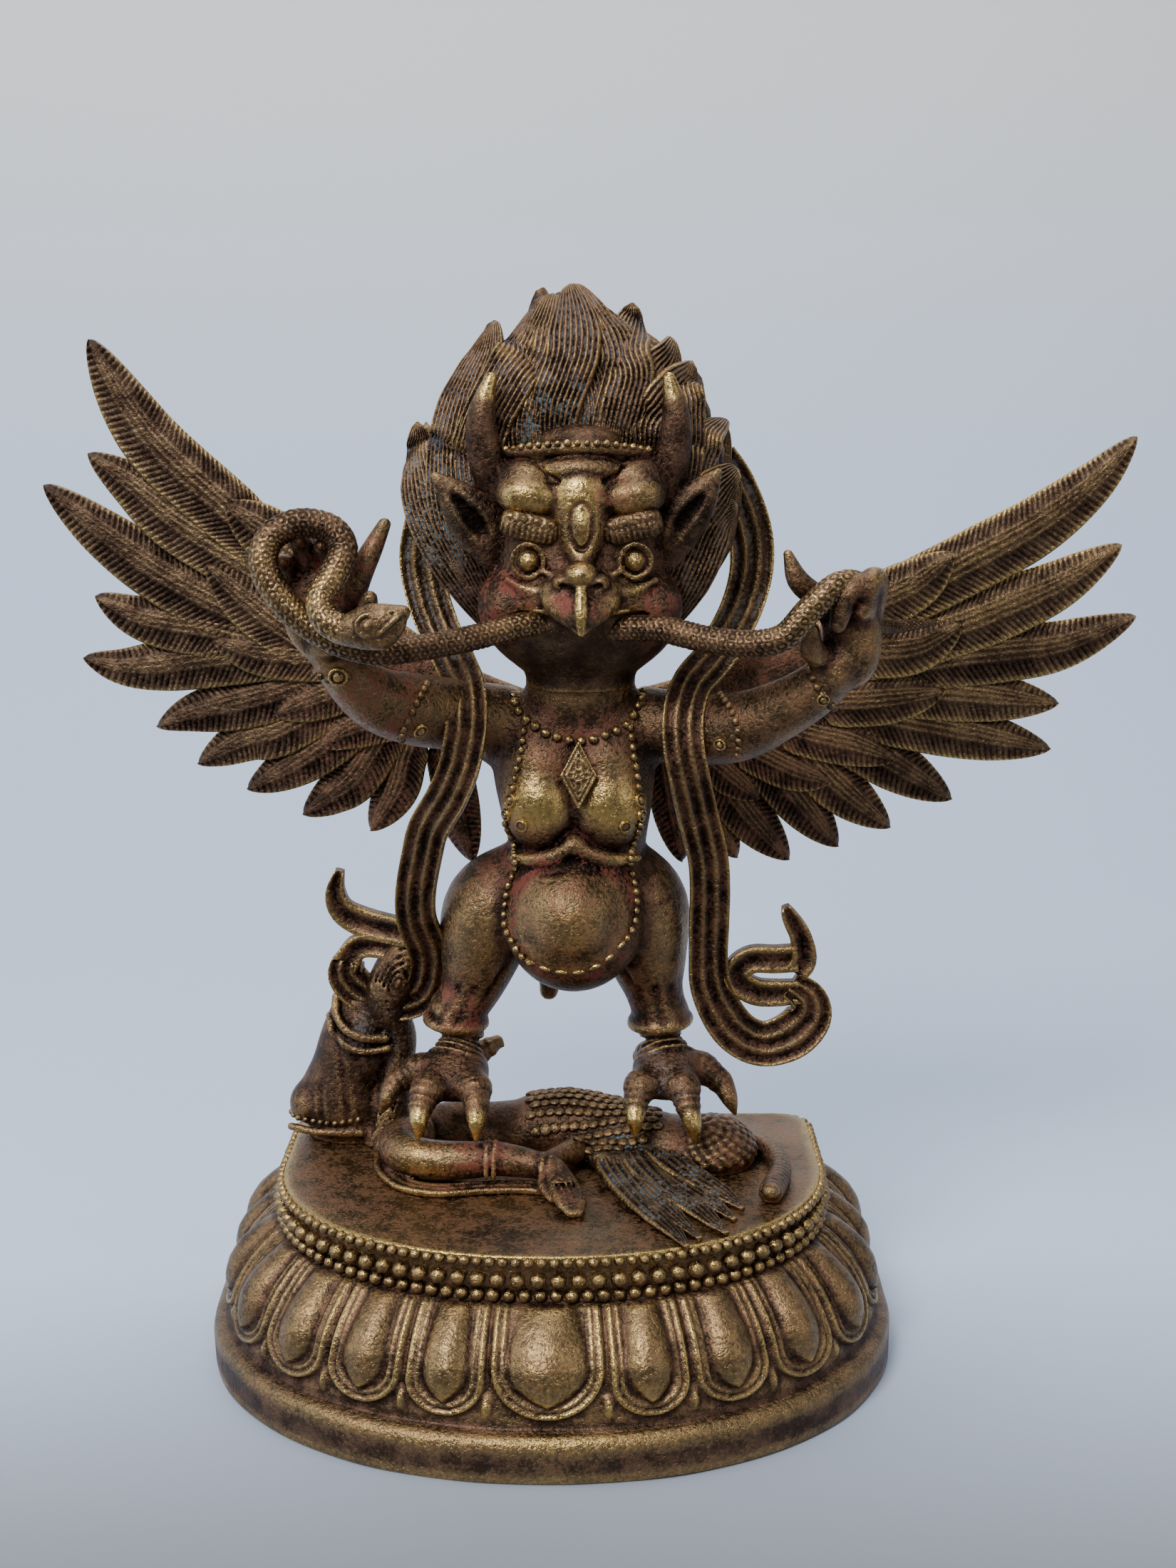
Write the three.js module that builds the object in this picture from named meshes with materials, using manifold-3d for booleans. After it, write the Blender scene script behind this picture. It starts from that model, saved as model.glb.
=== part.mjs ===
// Cast brass garuda on a lotus plinth. Millimetres, +Z up, -Y is the front, and the origin is on the plinth's
// underside.
import * as THREE from "three";
import { mergeVertices } from "three/addons/utils/BufferGeometryUtils.js";
import Module from "manifold-3d";

const wasm = await Module();
wasm.setup();

// Plinth sizes. The plate is the flat top that the figure stands on.
const PLINTH_HEIGHT = 58;
const PLATE_WIDTH = 169;
const PLATE_FRONT = 69;
const PLATE_BACK = 42;
const PLATE_CORNER = 9;
const PLATE_ROUNDNESS = 2.15;
const FOOT_FLARE = 23.5;
const BACK_FLARE = 2;
const FOOT_HEIGHT = 13.5;
const PEARL_BAND_HEIGHT = 14;
const PEARL_RADIUS = 2.9;
const PEARL_GAP = 0.1;
const PEARL_ROOT = 0.2;
const PETAL_WIDTH = 20;
const FRONT_PETAL_WIDTH = 29;
const PETAL_GAP = 1.5;
const PETAL_RIM = 1.7;
const PETAL_SWELL = 5;
const PETAL_ROOT = 0.8;

// Figure size. Its pose, proportions and carving are drawn on a grid on which it stands 272 units high.
const FIGURE_HEIGHT = 272;
const FIGURE_GRID = 272;
const SEAT_GAP = 0.3;

const UNIT = FIGURE_HEIGHT / FIGURE_GRID;
const TO_FRONT = new THREE.Vector3(0, -1, 0);
const TO_TOP = new THREE.Vector3(0, 0, 1);
const OVER_SHOULDER = new THREE.Vector3(0, -1, 0.35);

// Solids: a three.js geometry becomes a closed solid, and a list of solids becomes one.
function solid(geometry) {
  geometry.deleteAttribute("normal");
  geometry.deleteAttribute("uv");
  const merged = mergeVertices(geometry, 1e-4);
  const vertProperties = new Float32Array(merged.attributes.position.array);
  const triVerts = new Uint32Array(merged.index.array);
  return new wasm.Manifold(new wasm.Mesh({ numProp: 3, vertProperties, triVerts }));
}

function joined(solids) {
  return solids.reduce((whole, next) => whole.add(next));
}

function geometryOf(whole) {
  const mesh = whole.getMesh();
  const geometry = new THREE.BufferGeometry();
  const position = new Float32Array(mesh.numVert * 3);
  for (let i = 0; i < mesh.numVert; i += 1) {
    for (let axis = 0; axis < 3; axis += 1) {
      position[i * 3 + axis] = mesh.vertProperties[i * mesh.numProp + axis];
    }
  }
  geometry.setAttribute("position", new THREE.BufferAttribute(position, 3));
  geometry.setIndex(new THREE.BufferAttribute(new Uint32Array(mesh.triVerts), 1));
  return geometry;
}

function reshaped(geometry, place) {
  const position = geometry.attributes.position;
  for (let i = 0; i < position.count; i += 1) {
    const p = place(position.getX(i), position.getY(i), position.getZ(i));
    position.setXYZ(i, p.x, p.y, p.z);
  }
  return solid(geometry);
}

// A point of the figure's grid, in millimetres above the plate.
function at(x, y, z) {
  return new THREE.Vector3(x, y, z).multiplyScalar(UNIT);
}

// A limb: ovals of half-width w and half-depth d, at stations [x, y, z, w, d], joined along a smooth line.
// The depth lies towards "face". A section is a list of [across, out] shares of w and d in place of the oval.
function limb(stations, { sides = 8, face = TO_FRONT, section = null } = {}) {
  const spine = new THREE.CatmullRomCurve3(stations.map(([x, y, z]) => at(x, y, z)));
  const girth = new THREE.CatmullRomCurve3(stations.map(([, , , w, d = w]) => at(w, d, 0)));
  const count = section ? section.length : sides;
  const tube = new THREE.CylinderGeometry(1, 1, 1, count, stations.length - 1);
  return reshaped(tube, (x, y, z) => {
    const along = y + 0.5;
    const tangent = spine.getTangent(along);
    const across = new THREE.Vector3().crossVectors(tangent, face).normalize();
    const out = new THREE.Vector3().crossVectors(across, tangent);
    const size = girth.getPoint(along);
    const turn = Math.round((Math.atan2(x, z) / (2 * Math.PI)) * count + count) % count;
    const centre = Math.hypot(x, z) < 0.5;
    const [a, b] = centre ? [0, 0] : section ? section[turn] : [x, z];
    return spine.getPoint(along).addScaledVector(across, a * size.x).addScaledVector(out, b * size.y);
  });
}

function ball([x, y, z], [rx, ry, rz], sides, rows) {
  const sphere = new THREE.SphereGeometry(1, sides, rows);
  sphere.rotateX(Math.PI / 2);
  return reshaped(sphere, (u, v, w) => at(x + u * rx, y + v * ry, z + w * rz));
}

// Torso with its two breasts, round belly, neck and short tail.
function torso() {
  const trunk = limb([
    [8, 8, 160, 14, 13],
    [8, 9, 150, 14, 14],
    [8, 10, 136, 28, 17],
    [8, 9, 112, 24, 17],
    [7, 9, 100, 23, 18],
    [7, 5, 82, 30, 23],
    [7, 6, 67, 26, 21],
    [7, 8, 59, 12, 11],
  ], { sides: 8 });
  const breasts = [-5, 21].map((x) => ball([x, -2, 121], [14.5, 11, 15], 7, 4));
  const belly = ball([7, -2, 79], [22, 19, 21], 8, 4);
  const tail = limb([[5, 22, 84, 8, 7], [-1, 31, 64, 6, 5], [-5, 30, 48, 1.5, 1.5]], { sides: 5 });
  return [trunk, ...breasts, belly, tail];
}

// Legs in short trousers with a rolled hem, scaly ankles, three clawed toes in front and a spur behind.
const LEGS = [
  {
    thigh: [[-13, 12, 93, 20, 18], [-20, 12, 79, 18, 17], [-25, 12, 66, 13, 13], [-27, 12, 56, 9.5, 10.5]],
    hem: [-28, 11, 46],
    foot: [-30.5, 1, 25],
    toes: [
      [[-33, 0, 26, 5], [-40, -11, 24, 4], [-41, -18, 13, 1]],
      [[-28, -1, 26, 5], [-23, -13, 24, 4.2], [-23, -20, 13, 1]],
      [[-33, 4, 27, 5], [-47, 5, 25, 4], [-54, 2, 15, 1.2]],
      [[-26, 10, 32, 5], [-19, 23, 32, 4], [-16, 26, 26, 3]],
    ],
  },
  {
    thigh: [[27, 12, 93, 20, 18], [30, 12, 79, 18, 17], [33, 12, 66, 13, 13], [34, 12, 56, 9.5, 10.5]],
    hem: [34.5, 11, 47],
    foot: [36, 1, 26],
    toes: [
      [[33, 0, 27, 5], [26, -10, 24, 4], [26, -16, 13, 1]],
      [[38, -1, 27, 5], [42, -12, 24, 4.2], [45, -17, 11, 1]],
      [[39, 3, 28, 5.5], [53, 2, 25, 4.6], [58, 0, 14, 2.5]],
      [[33, 12, 32, 5], [30, 20, 28, 4], [28, 26, 24, 2.5]],
    ],
  },
];

function leg({ thigh, hem: [x, y, z], foot, toes }) {
  const hem = [[x, y, z, 12, 12.5], [x, y, z - 2.5, 10, 10.5]];
  const ankle = [
    [x, y, z, 7.5], [x, y - 3, z - 13, 8], [...foot, 10, 10], [foot[0], foot[1] - 2, foot[2] - 6, 6, 6],
  ];
  return [
    limb([...thigh, ...hem], { sides: 6 }),
    limb(ankle, { sides: 5 }),
    ...toes.map((toe) => limb(toe, { sides: 4, face: TO_TOP })),
  ];
}

// Head: heavy cheeks, knotted brow, three eyes, hooked beak, leaf ears, horns and a diadem.
function head() {
  const skull = limb([
    [9, 1, 157, 14, 12],
    [9, -1, 166, 24, 18],
    [9, -1, 181, 29, 21],
    [9, 1, 202, 25, 18.5],
    [9, 3, 222, 27, 17],
    [9, 8, 236, 12, 8],
  ], { sides: 9 });
  const brow = [-5, 23].map((x) => ball([x, -13.5, 211], [12, 8, 8], 6, 3));
  const eyes = [-6, 24.5].map((x) => ball([x, -17, 193], [7, 6, 6.5], 5, 4));
  const thirdEye = ball([9, -18, 205], [3.8, 6, 8], 4, 3);
  const muzzle = ball([9, -13, 181], [23, 12, 9], 6, 3);
  const beak = limb([[9, -15, 196, 5, 4], [9, -25, 186, 8, 6], [9, -30, 176, 4.5, 4.5], [9, -28, 169.5, 0.8]],
    { sides: 5 });
  const ears = [
    [[-14, -3, 195, 7, 4], [-22, -6, 205, 8, 4], [-33.5, -6, 217, 1.2]],
    [[32, -3, 195, 7, 4], [39, -6, 205, 8, 4], [49.5, -6, 217.5, 1.2]],
  ].map((ear) => limb(ear, { sides: 4 }));
  const horns = [
    [[-15, -4, 215, 7], [-19, -8, 229, 5], [-16.6, -9, 244.5, 2]],
    [[33, -4, 215, 7], [37, -8, 229, 5], [34.8, -9, 244.5, 2]],
  ].map((horn) => limb(horn, { sides: 4 }));
  const diadem = limb([
    [-12, -8, 223, 2], [-2, -14, 227, 2.2], [9, -16, 229, 2.4], [20, -14, 227, 2.2], [30, -8, 223, 2],
  ], { sides: 3, face: TO_TOP });
  const jewel = ball([9, -14, 221], [14, 6.5, 5.5], 6, 3);
  return [skull, ...brow, ...eyes, thirdEye, muzzle, beak, ...ears, ...horns, diadem, jewel];
}

// Hair: a mass behind the face, swept up into flame-shaped locks. The outline is [x, z] at its widest part.
const FLAMES = [
  [-24, 170], [-41, 181], [-49, 198], [-47, 213], [-42, 232], [-37, 227], [-29, 244], [-23, 254], [-14, 261],
  [-8, 256], [2, 262], [6, 272], [10, 266], [13, 272], [18, 268], [25, 260], [33, 267], [38, 253], [45, 255],
  [45, 247], [50, 248], [56, 229], [60, 229], [60, 216], [64, 216], [63, 199], [58, 185], [45, 171],
  [10, 164],
];
const HAIR_HEART = [8, 14, 208];
const HAIR_DEPTH = 20;

function hair() {
  const [heartX, heartY, heartZ] = HAIR_HEART;
  const swell = new THREE.SphereGeometry(1, FLAMES.length, 4);
  return [reshaped(swell, (x, y, z) => {
    const turn = Math.round((Math.atan2(z, -x) / (2 * Math.PI)) * FLAMES.length + FLAMES.length);
    const [tipX, tipZ] = FLAMES[turn % FLAMES.length];
    const reach = Math.hypot(x, z) ** 0.8;
    return at(heartX + (tipX - heartX) * reach, heartY + y * HAIR_DEPTH, heartZ + (tipZ - heartZ) * reach);
  })];
}

// Arms bent up at the elbow, thicker at the armlet and the bracelet, and the hands that hold the snake.
function arms() {
  const left = limb([
    [-12, 10, 142, 11.5], [-28, 4, 144, 11], [-41, -6, 147.5, 10.8], [-51, -16, 152.5, 9.2],
    [-59, -24, 162, 7.6], [-65, -29, 172, 6.2],
  ], { sides: 6 });
  const right = limb([
    [28, 10, 140, 12], [42, 5, 138, 11], [55, -4, 141, 11], [67, -12, 147, 8], [80, -20, 158, 8],
    [87, -23, 168, 6],
  ], { sides: 6 });
  const palms = [ball([-66, -29, 179], [9.5, 5, 14], 6, 3), ball([88, -23, 171], [8.5, 7, 14], 6, 3)];
  const fingers = [
    [[-59, -30, 174, 4.5], [-53, -29, 191, 4.2], [-48, -26, 203, 1.8]],
    [[-61, -27, 188, 3.8], [-62, -29, 204, 2.4]],
    [[-67, -27, 190, 3.8], [-68, -29, 205, 2.4]],
    [[-73, -27, 188, 3.6], [-74, -29, 201, 2.2]],
    [[90, -25, 178, 4.4], [87, -30, 187, 4], [80, -31, 179, 2.6]],
    [[84, -20, 176, 4.4], [73, -25, 186, 3.6], [69, -26, 195, 1.6]],
    [[92, -19, 178, 4.2], [91, -27, 190, 3]],
  ].map((finger) => limb(finger, { sides: 4 }));
  return [left, right, ...palms, ...fingers];
}

// Snake: it passes through the beak, loops round the figure's right hand to its own head, and ends behind the
// left hand.
const SNAKE_HEAD_SIDE = [
  [2, -16, 173], [-14, -19, 172.5], [-35, -34, 170], [-48, -41, 169.5], [-60, -42, 174], [-71, -42, 183],
  [-79, -41, 194], [-77, -38, 202], [-69, -36, 205], [-60, -35, 203], [-56, -37, 198], [-58, -42, 192],
  [-62, -46, 187], [-63, -48, 182], [-59, -50, 178], [-50, -52, 177],
];
const SNAKE_TAIL_SIDE = [
  [16, -16, 173], [30, -21, 174], [45, -30, 171], [58, -34, 170.5], [68, -36, 174], [76, -34, 183],
  [83, -31, 187.5], [89, -24, 185], [93, -8, 177], [100, 12, 170], [121, 31, 168],
];
const SNAKE_THICKNESS = 4;
const SNAKE_TIP = 1.2;

function snake() {
  const tailRadius = (i) => Math.min(SNAKE_THICKNESS, SNAKE_TIP + (SNAKE_TAIL_SIDE.length - 1 - i) * 1.2);
  const headSide = limb(SNAKE_HEAD_SIDE.map((p) => [...p, SNAKE_THICKNESS]), { sides: 4 });
  const tailSide = limb(SNAKE_TAIL_SIDE.map((p, i) => [...p, tailRadius(i)]), { sides: 4, face: TO_TOP });
  const skull = limb([[-53, -52, 177, 4], [-46, -53, 178.5, 6.4, 5.6], [-36, -54, 182, 2.6, 2.8]],
    { sides: 4 });
  const jaw = limb([[-48, -53, 176, 4], [-37, -54, 176.5, 1.8]], { sides: 4 });
  return [headSide, tailSide, skull, jaw];
}

// Scarf: a strip with three pleats that comes from behind the head, over each shoulder, and ends in a scroll.
const PLEATS = [[0, 1], [0.5, 0.2], [1, 1], [1, -1], [-1, -1], [-1, 1], [-0.5, 0.2]];
const FURROW = [[0, 0.2], [1, 1], [1, -1], [-1, -1], [-1, 1]];
const SCARF_WIDTH = 13.2;
const SCARF_THICKNESS = 5.2;
const SCARF_STRIPS = [
  [
    [-36, 28, 210], [-43, 30, 192], [-36, 24, 168], [-26, 8, 152], [-25, -7, 141], [-31, -8, 121],
    [-39, -2, 102], [-42, 3, 86], [-38, 12, 64],
  ],
  [
    [53, 28, 216], [65, 30, 197], [60, 25, 172], [42, 8, 153], [40, -7, 141], [44, -7, 118], [49, -1, 93],
    [49, 2, 73],
  ],
];
const SCROLLS = [
  [
    [49, 2, 75, 5.2], [49, 3, 60, 6], [55, 4, 45, 7], [66, 4, 38.5, 7], [79, 4, 44, 7.5], [81, 4, 54, 6.5],
    [73, 4, 58, 4],
  ],
  [[75, 4, 57, 4], [64, 4, 55.5, 4], [57, 4, 60, 4], [64, 4, 65.5, 4], [77, 4, 66, 4.2]],
  [[77, 4, 63, 3.8], [78.5, 4, 70, 3.8], [73.5, 4, 82, 1.8]],
  [[-38, 13, 66, 5.5], [-39, 17, 52, 6], [-50, 21, 45.5, 6.5], [-63, 22, 51, 6.5], [-66, 22, 60, 6]],
  [[-66, 22, 58, 5], [-60, 22, 66, 3.6], [-42, 19, 62, 3.6]],
  [[-44, 17, 71, 4], [-62, 22, 74, 4.4], [-69.5, 22, 80, 3.6], [-68, 22, 90, 1.8]],
];

function scarf() {
  const hanging = SCARF_STRIPS.map((strip) =>
    limb(strip.map((p) => [...p, SCARF_WIDTH / 2, SCARF_THICKNESS / 2]),
      { section: PLEATS, face: OVER_SHOULDER }));
  const scrolls = SCROLLS.map((scroll) =>
    limb(scroll.map(([x, y, z, w]) => [x, y, z, w, SCARF_THICKNESS / 2]), { section: FURROW }));
  return [...hanging, ...scrolls];
}

// Wings: a fan of long feathers [root x, z, middle x, z, tip x, z] under a row of short ones, top one first.
const LONG_FEATHERS = [
  [
    [-87, 191, -121, 222, -144, 256], [-83, 179, -118, 201, -146, 221], [-83, 166, -123, 184, -161, 211],
    [-83, 161, -118, 169, -146, 176], [-79, 161, -115, 157, -151, 156], [-70, 153, -100, 144, -128, 134],
    [-68, 146, -93, 133, -115, 122], [-61, 140, -82, 125, -99, 114], [-54, 135, -68, 117, -81, 106],
    [-48, 127, -52, 114, -59, 101], [-34, 124, -31, 107, -26, 91],
  ],
  [
    [97, 171, 143, 194, 185, 226], [101, 159, 146, 174, 182, 192], [100, 153, 145, 159, 188, 169],
    [100, 148, 133, 146, 164, 141], [96, 141, 130, 134, 162, 126], [91, 135, 112, 122, 130, 110],
    [79, 130, 96, 114, 110, 101], [68, 126, 83, 110, 93, 95], [53, 124, 67, 106, 77, 91],
    [46, 119, 54, 105, 60, 92], [38, 122, 41, 105, 42, 91],
  ],
];
const SHORT_FEATHERS = [
  [
    [-74, 184, -89, 197, -102, 206], [-72, 165, -91, 176, -109, 187], [-66, 161, -87, 161, -108, 163],
    [-54, 151, -70, 146, -89, 139], [-38, 138, -54, 132, -71, 122],
  ],
  [
    [90, 172, 110, 181, 127, 190], [90, 160, 111, 163, 131, 168], [86, 146, 106, 146, 126, 146],
    [72, 136, 91, 130, 111, 124], [54, 130, 69, 124, 84, 115],
  ],
];
const FEATHER_HALF_WIDTH = 8.5;
const FEATHER_RIDGE = 1.6;
const FEATHER_LIFT = 2.6;
const WING_THICKNESS = 4;
const NOTCH_SHARE = [0.72, 0.86];
const WING_ARMS = [
  [[-4, 134, 12, 9], [-30, 141, 15, 7], [-52, 153, 17, 6], [-88, 190, 10, 4.5]],
  [[18, 134, 12, 9], [46, 138, 15, 7], [68, 146, 17, 6], [104, 170, 10, 4.5]],
];

function wingDepth(x) {
  return 26 + 0.1 * Math.abs(x);
}

// A fan is a slab whose columns run to the feather tips and to the notches between them, in turn.
function fan(feathers, back, front, rows) {
  const quills = feathers.map(([rootX, rootZ, midX, midZ, tipX, tipZ]) => new THREE.SplineCurve([
    new THREE.Vector2(rootX, rootZ), new THREE.Vector2(midX, midZ), new THREE.Vector2(tipX, tipZ),
  ]));
  const last = quills.length - 1;
  const side = Math.sign(quills[0].getPoint(1).x - quills[0].getPoint(0).x);
  const edge = (quill, turn, share) => {
    const t = quill.getTangent(share);
    const half = turn * FEATHER_HALF_WIDTH * Math.sqrt(1.05 - share * share);
    return quill.getPoint(share).add(new THREE.Vector2(-t.y * half, t.x * half));
  };
  const between = (column, share) => {
    const notch = share * THREE.MathUtils.lerp(...NOTCH_SHARE, column / (2 * last));
    return quills[column / 2 - 1].getPoint(notch).lerp(quills[column / 2].getPoint(notch), 0.5);
  };
  const columns = 2 * quills.length;
  return reshaped(new THREE.BoxGeometry(1, 1, 1, columns, 1, rows), (x, y, z) => {
    const column = Math.round((side * x + 0.5) * columns);
    const share = 0.5 - z;
    const ridge = column % 2 === 1;
    let p = null;
    if (ridge) {
      p = quills[(column - 1) / 2].getPoint(share);
    } else if (column === 0) {
      p = edge(quills[0], side, share);
    } else if (column === columns) {
      p = edge(quills[last], -side, share);
    } else {
      p = between(column, share);
    }
    return at(p.x, wingDepth(p.x) + (y < 0 ? back : front - (ridge ? FEATHER_RIDGE : 0)), p.y);
  });
}

function wings() {
  const half = WING_THICKNESS / 2;
  const long = LONG_FEATHERS.map((feathers) => fan(feathers, half, -half, 2));
  const short = SHORT_FEATHERS.map((feathers) => fan(feathers, 0, -half - FEATHER_LIFT, 2));
  const wingArms = WING_ARMS.map((arm) =>
    limb(arm.map(([x, z, w, d]) => [x, wingDepth(x), z, w, d]), { sides: 5 }));
  return [...wingArms, ...long, ...short];
}

// The naga underfoot: scaly back, bent arm with its hand on the plate, ribbon, spread hair, coiled tail.
function lyingNaga() {
  const back = limb([
    [-46, 8, 3, 7, 7],
    [-28, 12, 4, 11, 8],
    [-10, 14, 5, 12, 9.5],
    [10, 14, 6, 13, 11],
    [32, 4, 5, 11, 9],
    [44, 0, 3, 9, 7],
  ], { sides: 6, face: TO_TOP });
  const arm = limb([
    [-34, 6, 8, 7],
    [-46, -4, 7, 7],
    [-37, -15, 7, 6.4],
    [-17, -16, 8, 6],
    [1, -22, 7, 4.4],
    [5, -32, 4, 5],
    [8.5, -45, 1, 2.4],
  ], { sides: 4, face: TO_TOP });
  const ribbon = limb([
    [-52, 16, 2, 3], [-51, -5, 2, 3], [-43, -22, 1.5, 3], [-20, -22, 1.5, 3], [0, -22, 1.5, 3],
  ], { sides: 4, face: TO_TOP });
  const tresses = [[38, -62], [49, -54], [58, -38]].map(([x, y]) =>
    limb([[28, -4, 4, 5, 4], [0.5 * (x + 30), 0.55 * y - 4, 1, 4.4, 3], [x, y, 0, 2, 2]],
      { sides: 4, face: TO_TOP }));
  const coil = ball([53, 0, 2], [13, 14, 9], 6, 3);
  const tailEnd = limb([
    [52, 10, 2, 5], [60, 19, 2, 4.6], [70, 14, 2, 4.6], [74, -4, 2, 4.6], [71, -22, 2.5, 5],
    [66, -35, 2.5, 4],
  ], { sides: 4, face: TO_TOP });
  return [back, arm, ribbon, ...tresses, coil, tailEnd];
}

// The small naga that squats behind, cloaked, with a tall bun of hair bent over against the scarf's scroll.
function squattingNaga() {
  const cloak = limb([
    [-69, 28, -1, 15, 13], [-69, 28, 9, 17, 14], [-67, 28, 24, 13.5, 12], [-63, 28, 49, 8, 8],
  ], { sides: 7 });
  const knee = ball([-82, 25, 9], [6.5, 8, 7], 6, 3);
  const bun = limb([[-57, 26, 40, 7.5, 8], [-53, 24, 52, 8, 8], [-48, 22, 62, 7, 7], [-45, 22, 68, 3, 4]],
    { sides: 6 });
  const fall = limb([[-52, 22, 44, 5, 6], [-50, 23, 32, 5, 6], [-52, 22, 18, 6, 7], [-54, 18, -1, 8, 9]],
    { sides: 5 });
  return [cloak, knee, bun, fall];
}

function figureGeometry() {
  const pieces = [
    ...torso(), ...LEGS.flatMap(leg), ...head(), ...hair(), ...arms(), ...snake(), ...scarf(), ...wings(),
    ...lyingNaga(), ...squattingNaga(),
  ];
  const below = new THREE.BoxGeometry(4 * PLATE_WIDTH, 4 * PLATE_WIDTH, FIGURE_HEIGHT);
  below.translate(0, 0, -FIGURE_HEIGHT / 2);
  return geometryOf(joined(pieces).subtract(solid(below)));
}

// Half of the plate's outline, from the middle of the front to the middle of the back, on the +X side.
function halfOutline() {
  const half = PLATE_WIDTH / 2;
  const outline = new THREE.Path();
  outline.moveTo(0, -PLATE_FRONT);
  const arcPoints = 24;
  for (let i = 1; i <= arcPoints; i += 1) {
    const turn = (i / arcPoints) * (Math.PI / 2);
    const x = half * Math.sin(turn) ** (2 / PLATE_ROUNDNESS);
    const y = -PLATE_FRONT * Math.cos(turn) ** (2 / PLATE_ROUNDNESS);
    outline.lineTo(x, i === arcPoints ? 0 : y);
  }
  outline.lineTo(half, PLATE_BACK - PLATE_CORNER);
  outline.absarc(half - PLATE_CORNER, PLATE_BACK - PLATE_CORNER, PLATE_CORNER, 0, Math.PI / 2);
  outline.lineTo(0, PLATE_BACK);
  return outline;
}

const OUTLINE = halfOutline();
const HALF_LENGTH = OUTLINE.getLength();
const FLAT_BACK_START = HALF_LENGTH - PLATE_WIDTH / 2 + PLATE_CORNER;
const SIDE_END = FLAT_BACK_START - PLATE_CORNER / 2;

// The outline at a signed share of its half length, mirrored on the -X side and past the middle of the back.
function outlineAt(share) {
  const past = Math.abs(share) > 1;
  const p = OUTLINE.getPointAt(past ? 2 - Math.abs(share) : Math.abs(share));
  return new THREE.Vector2(share < 0 !== past ? -p.x : p.x, p.y);
}

// A point of the plinth's side: "along" is the way round from the middle of the front, and "out" is measured
// from the plate's edge.
function onSide(along, out, z) {
  const share = along / HALF_LENGTH;
  const step = 0.004;
  const p = outlineAt(share);
  const before = outlineAt(share - step);
  const after = outlineAt(share + step);
  const normal = new THREE.Vector2(after.y - before.y, before.x - after.x).normalize();
  const flare = normal.y > 0 ? BACK_FLARE / FOOT_FLARE : 1;
  return new THREE.Vector3(p.x + normal.x * out, p.y + normal.y * flare * out, z);
}

// Profile of the plinth from the underside up: [share of the flare, height].
const PETAL_TOP = PLINTH_HEIGHT - PEARL_BAND_HEIGHT;
const PETAL_HEIGHT = PETAL_TOP - FOOT_HEIGHT;
const PROFILE = [
  [1, 0],
  [1, FOOT_HEIGHT * 0.7],
  [0.93, FOOT_HEIGHT],
  [0.8, FOOT_HEIGHT + PETAL_HEIGHT * 0.05],
  [0.5, FOOT_HEIGHT + PETAL_HEIGHT * 0.64],
  [0.04, PETAL_TOP],
  [0, PLINTH_HEIGHT],
];

function groundOut(z) {
  const above = Math.max(1, PROFILE.findIndex(([, height]) => height >= z));
  const [outA, zA] = PROFILE[above - 1];
  const [outB, zB] = PROFILE[above];
  return FOOT_FLARE * (outA + ((outB - outA) * (z - zA)) / (zB - zA));
}

// Where the body's upright edges stand on each half: evenly round the front, then on the corner and the back.
const FRONT_EDGES = 11;
const CORNER_START = FLAT_BACK_START - (Math.PI / 2) * PLATE_CORNER;
const EDGES = [
  ...Array.from({ length: FRONT_EDGES }, (_, i) => (CORNER_START * i) / (FRONT_EDGES - 1)),
  (CORNER_START + FLAT_BACK_START) / 2,
  FLAT_BACK_START,
  HALF_LENGTH,
];

function plinthBody() {
  const rows = PROFILE.length - 1;
  const halfSides = EDGES.length - 1;
  return reshaped(new THREE.CylinderGeometry(1, 1, 1, 2 * halfSides, rows), (x, y, z) => {
    const [out, height] = PROFILE[Math.round((y + 0.5) * rows)];
    if (Math.hypot(x, z) < 0.5) {
      return new THREE.Vector3(0, 0, height);
    }
    const edge = Math.round((Math.atan2(x, z) / Math.PI) * halfSides);
    return onSide(Math.sign(edge) * EDGES[Math.abs(edge)], out * FOOT_FLARE, height);
  });
}

// A petal: a swelling tongue inside a raised rim that hangs from the pearl band and rounds off near the foot.
function petal(along, width) {
  const foot = FOOT_HEIGHT + PETAL_HEIGHT * 0.12;
  const half = width / 2 - PETAL_RIM;
  const tongue = new THREE.SphereGeometry(1, 4, 4);
  const swell = reshaped(tongue, (x, y, z) => {
    const height = foot + PETAL_RIM + (PETAL_TOP - foot - PETAL_RIM) * (0.5 + 0.5 * y);
    const narrow = 0.72 - 0.22 * y * y - 0.1 * y;
    return onSide(along + x * half * narrow, groundOut(height) - PETAL_ROOT + z * PETAL_SWELL, height);
  });
  const edge = new THREE.CatmullRomCurve3([
    new THREE.Vector3(-half, PETAL_TOP, 0),
    new THREE.Vector3(-half * 0.85, foot + (PETAL_TOP - foot) * 0.24, 0),
    new THREE.Vector3(0, foot, 0),
    new THREE.Vector3(half * 0.85, foot + (PETAL_TOP - foot) * 0.24, 0),
    new THREE.Vector3(half, PETAL_TOP, 0),
  ]);
  const rim = reshaped(new THREE.CylinderGeometry(1, 1, 1, 3, 4), (x, y, z) => {
    const p = edge.getPoint(y + 0.5);
    const t = edge.getTangent(y + 0.5);
    const shift = x * PETAL_RIM;
    const height = Math.min(p.y - t.x * shift, PETAL_TOP);
    const out = groundOut(height) - PETAL_ROOT + z * (PETAL_RIM + PETAL_ROOT);
    return onSide(along + p.x + t.y * shift, out, height);
  });
  return [swell, rim];
}

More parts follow.
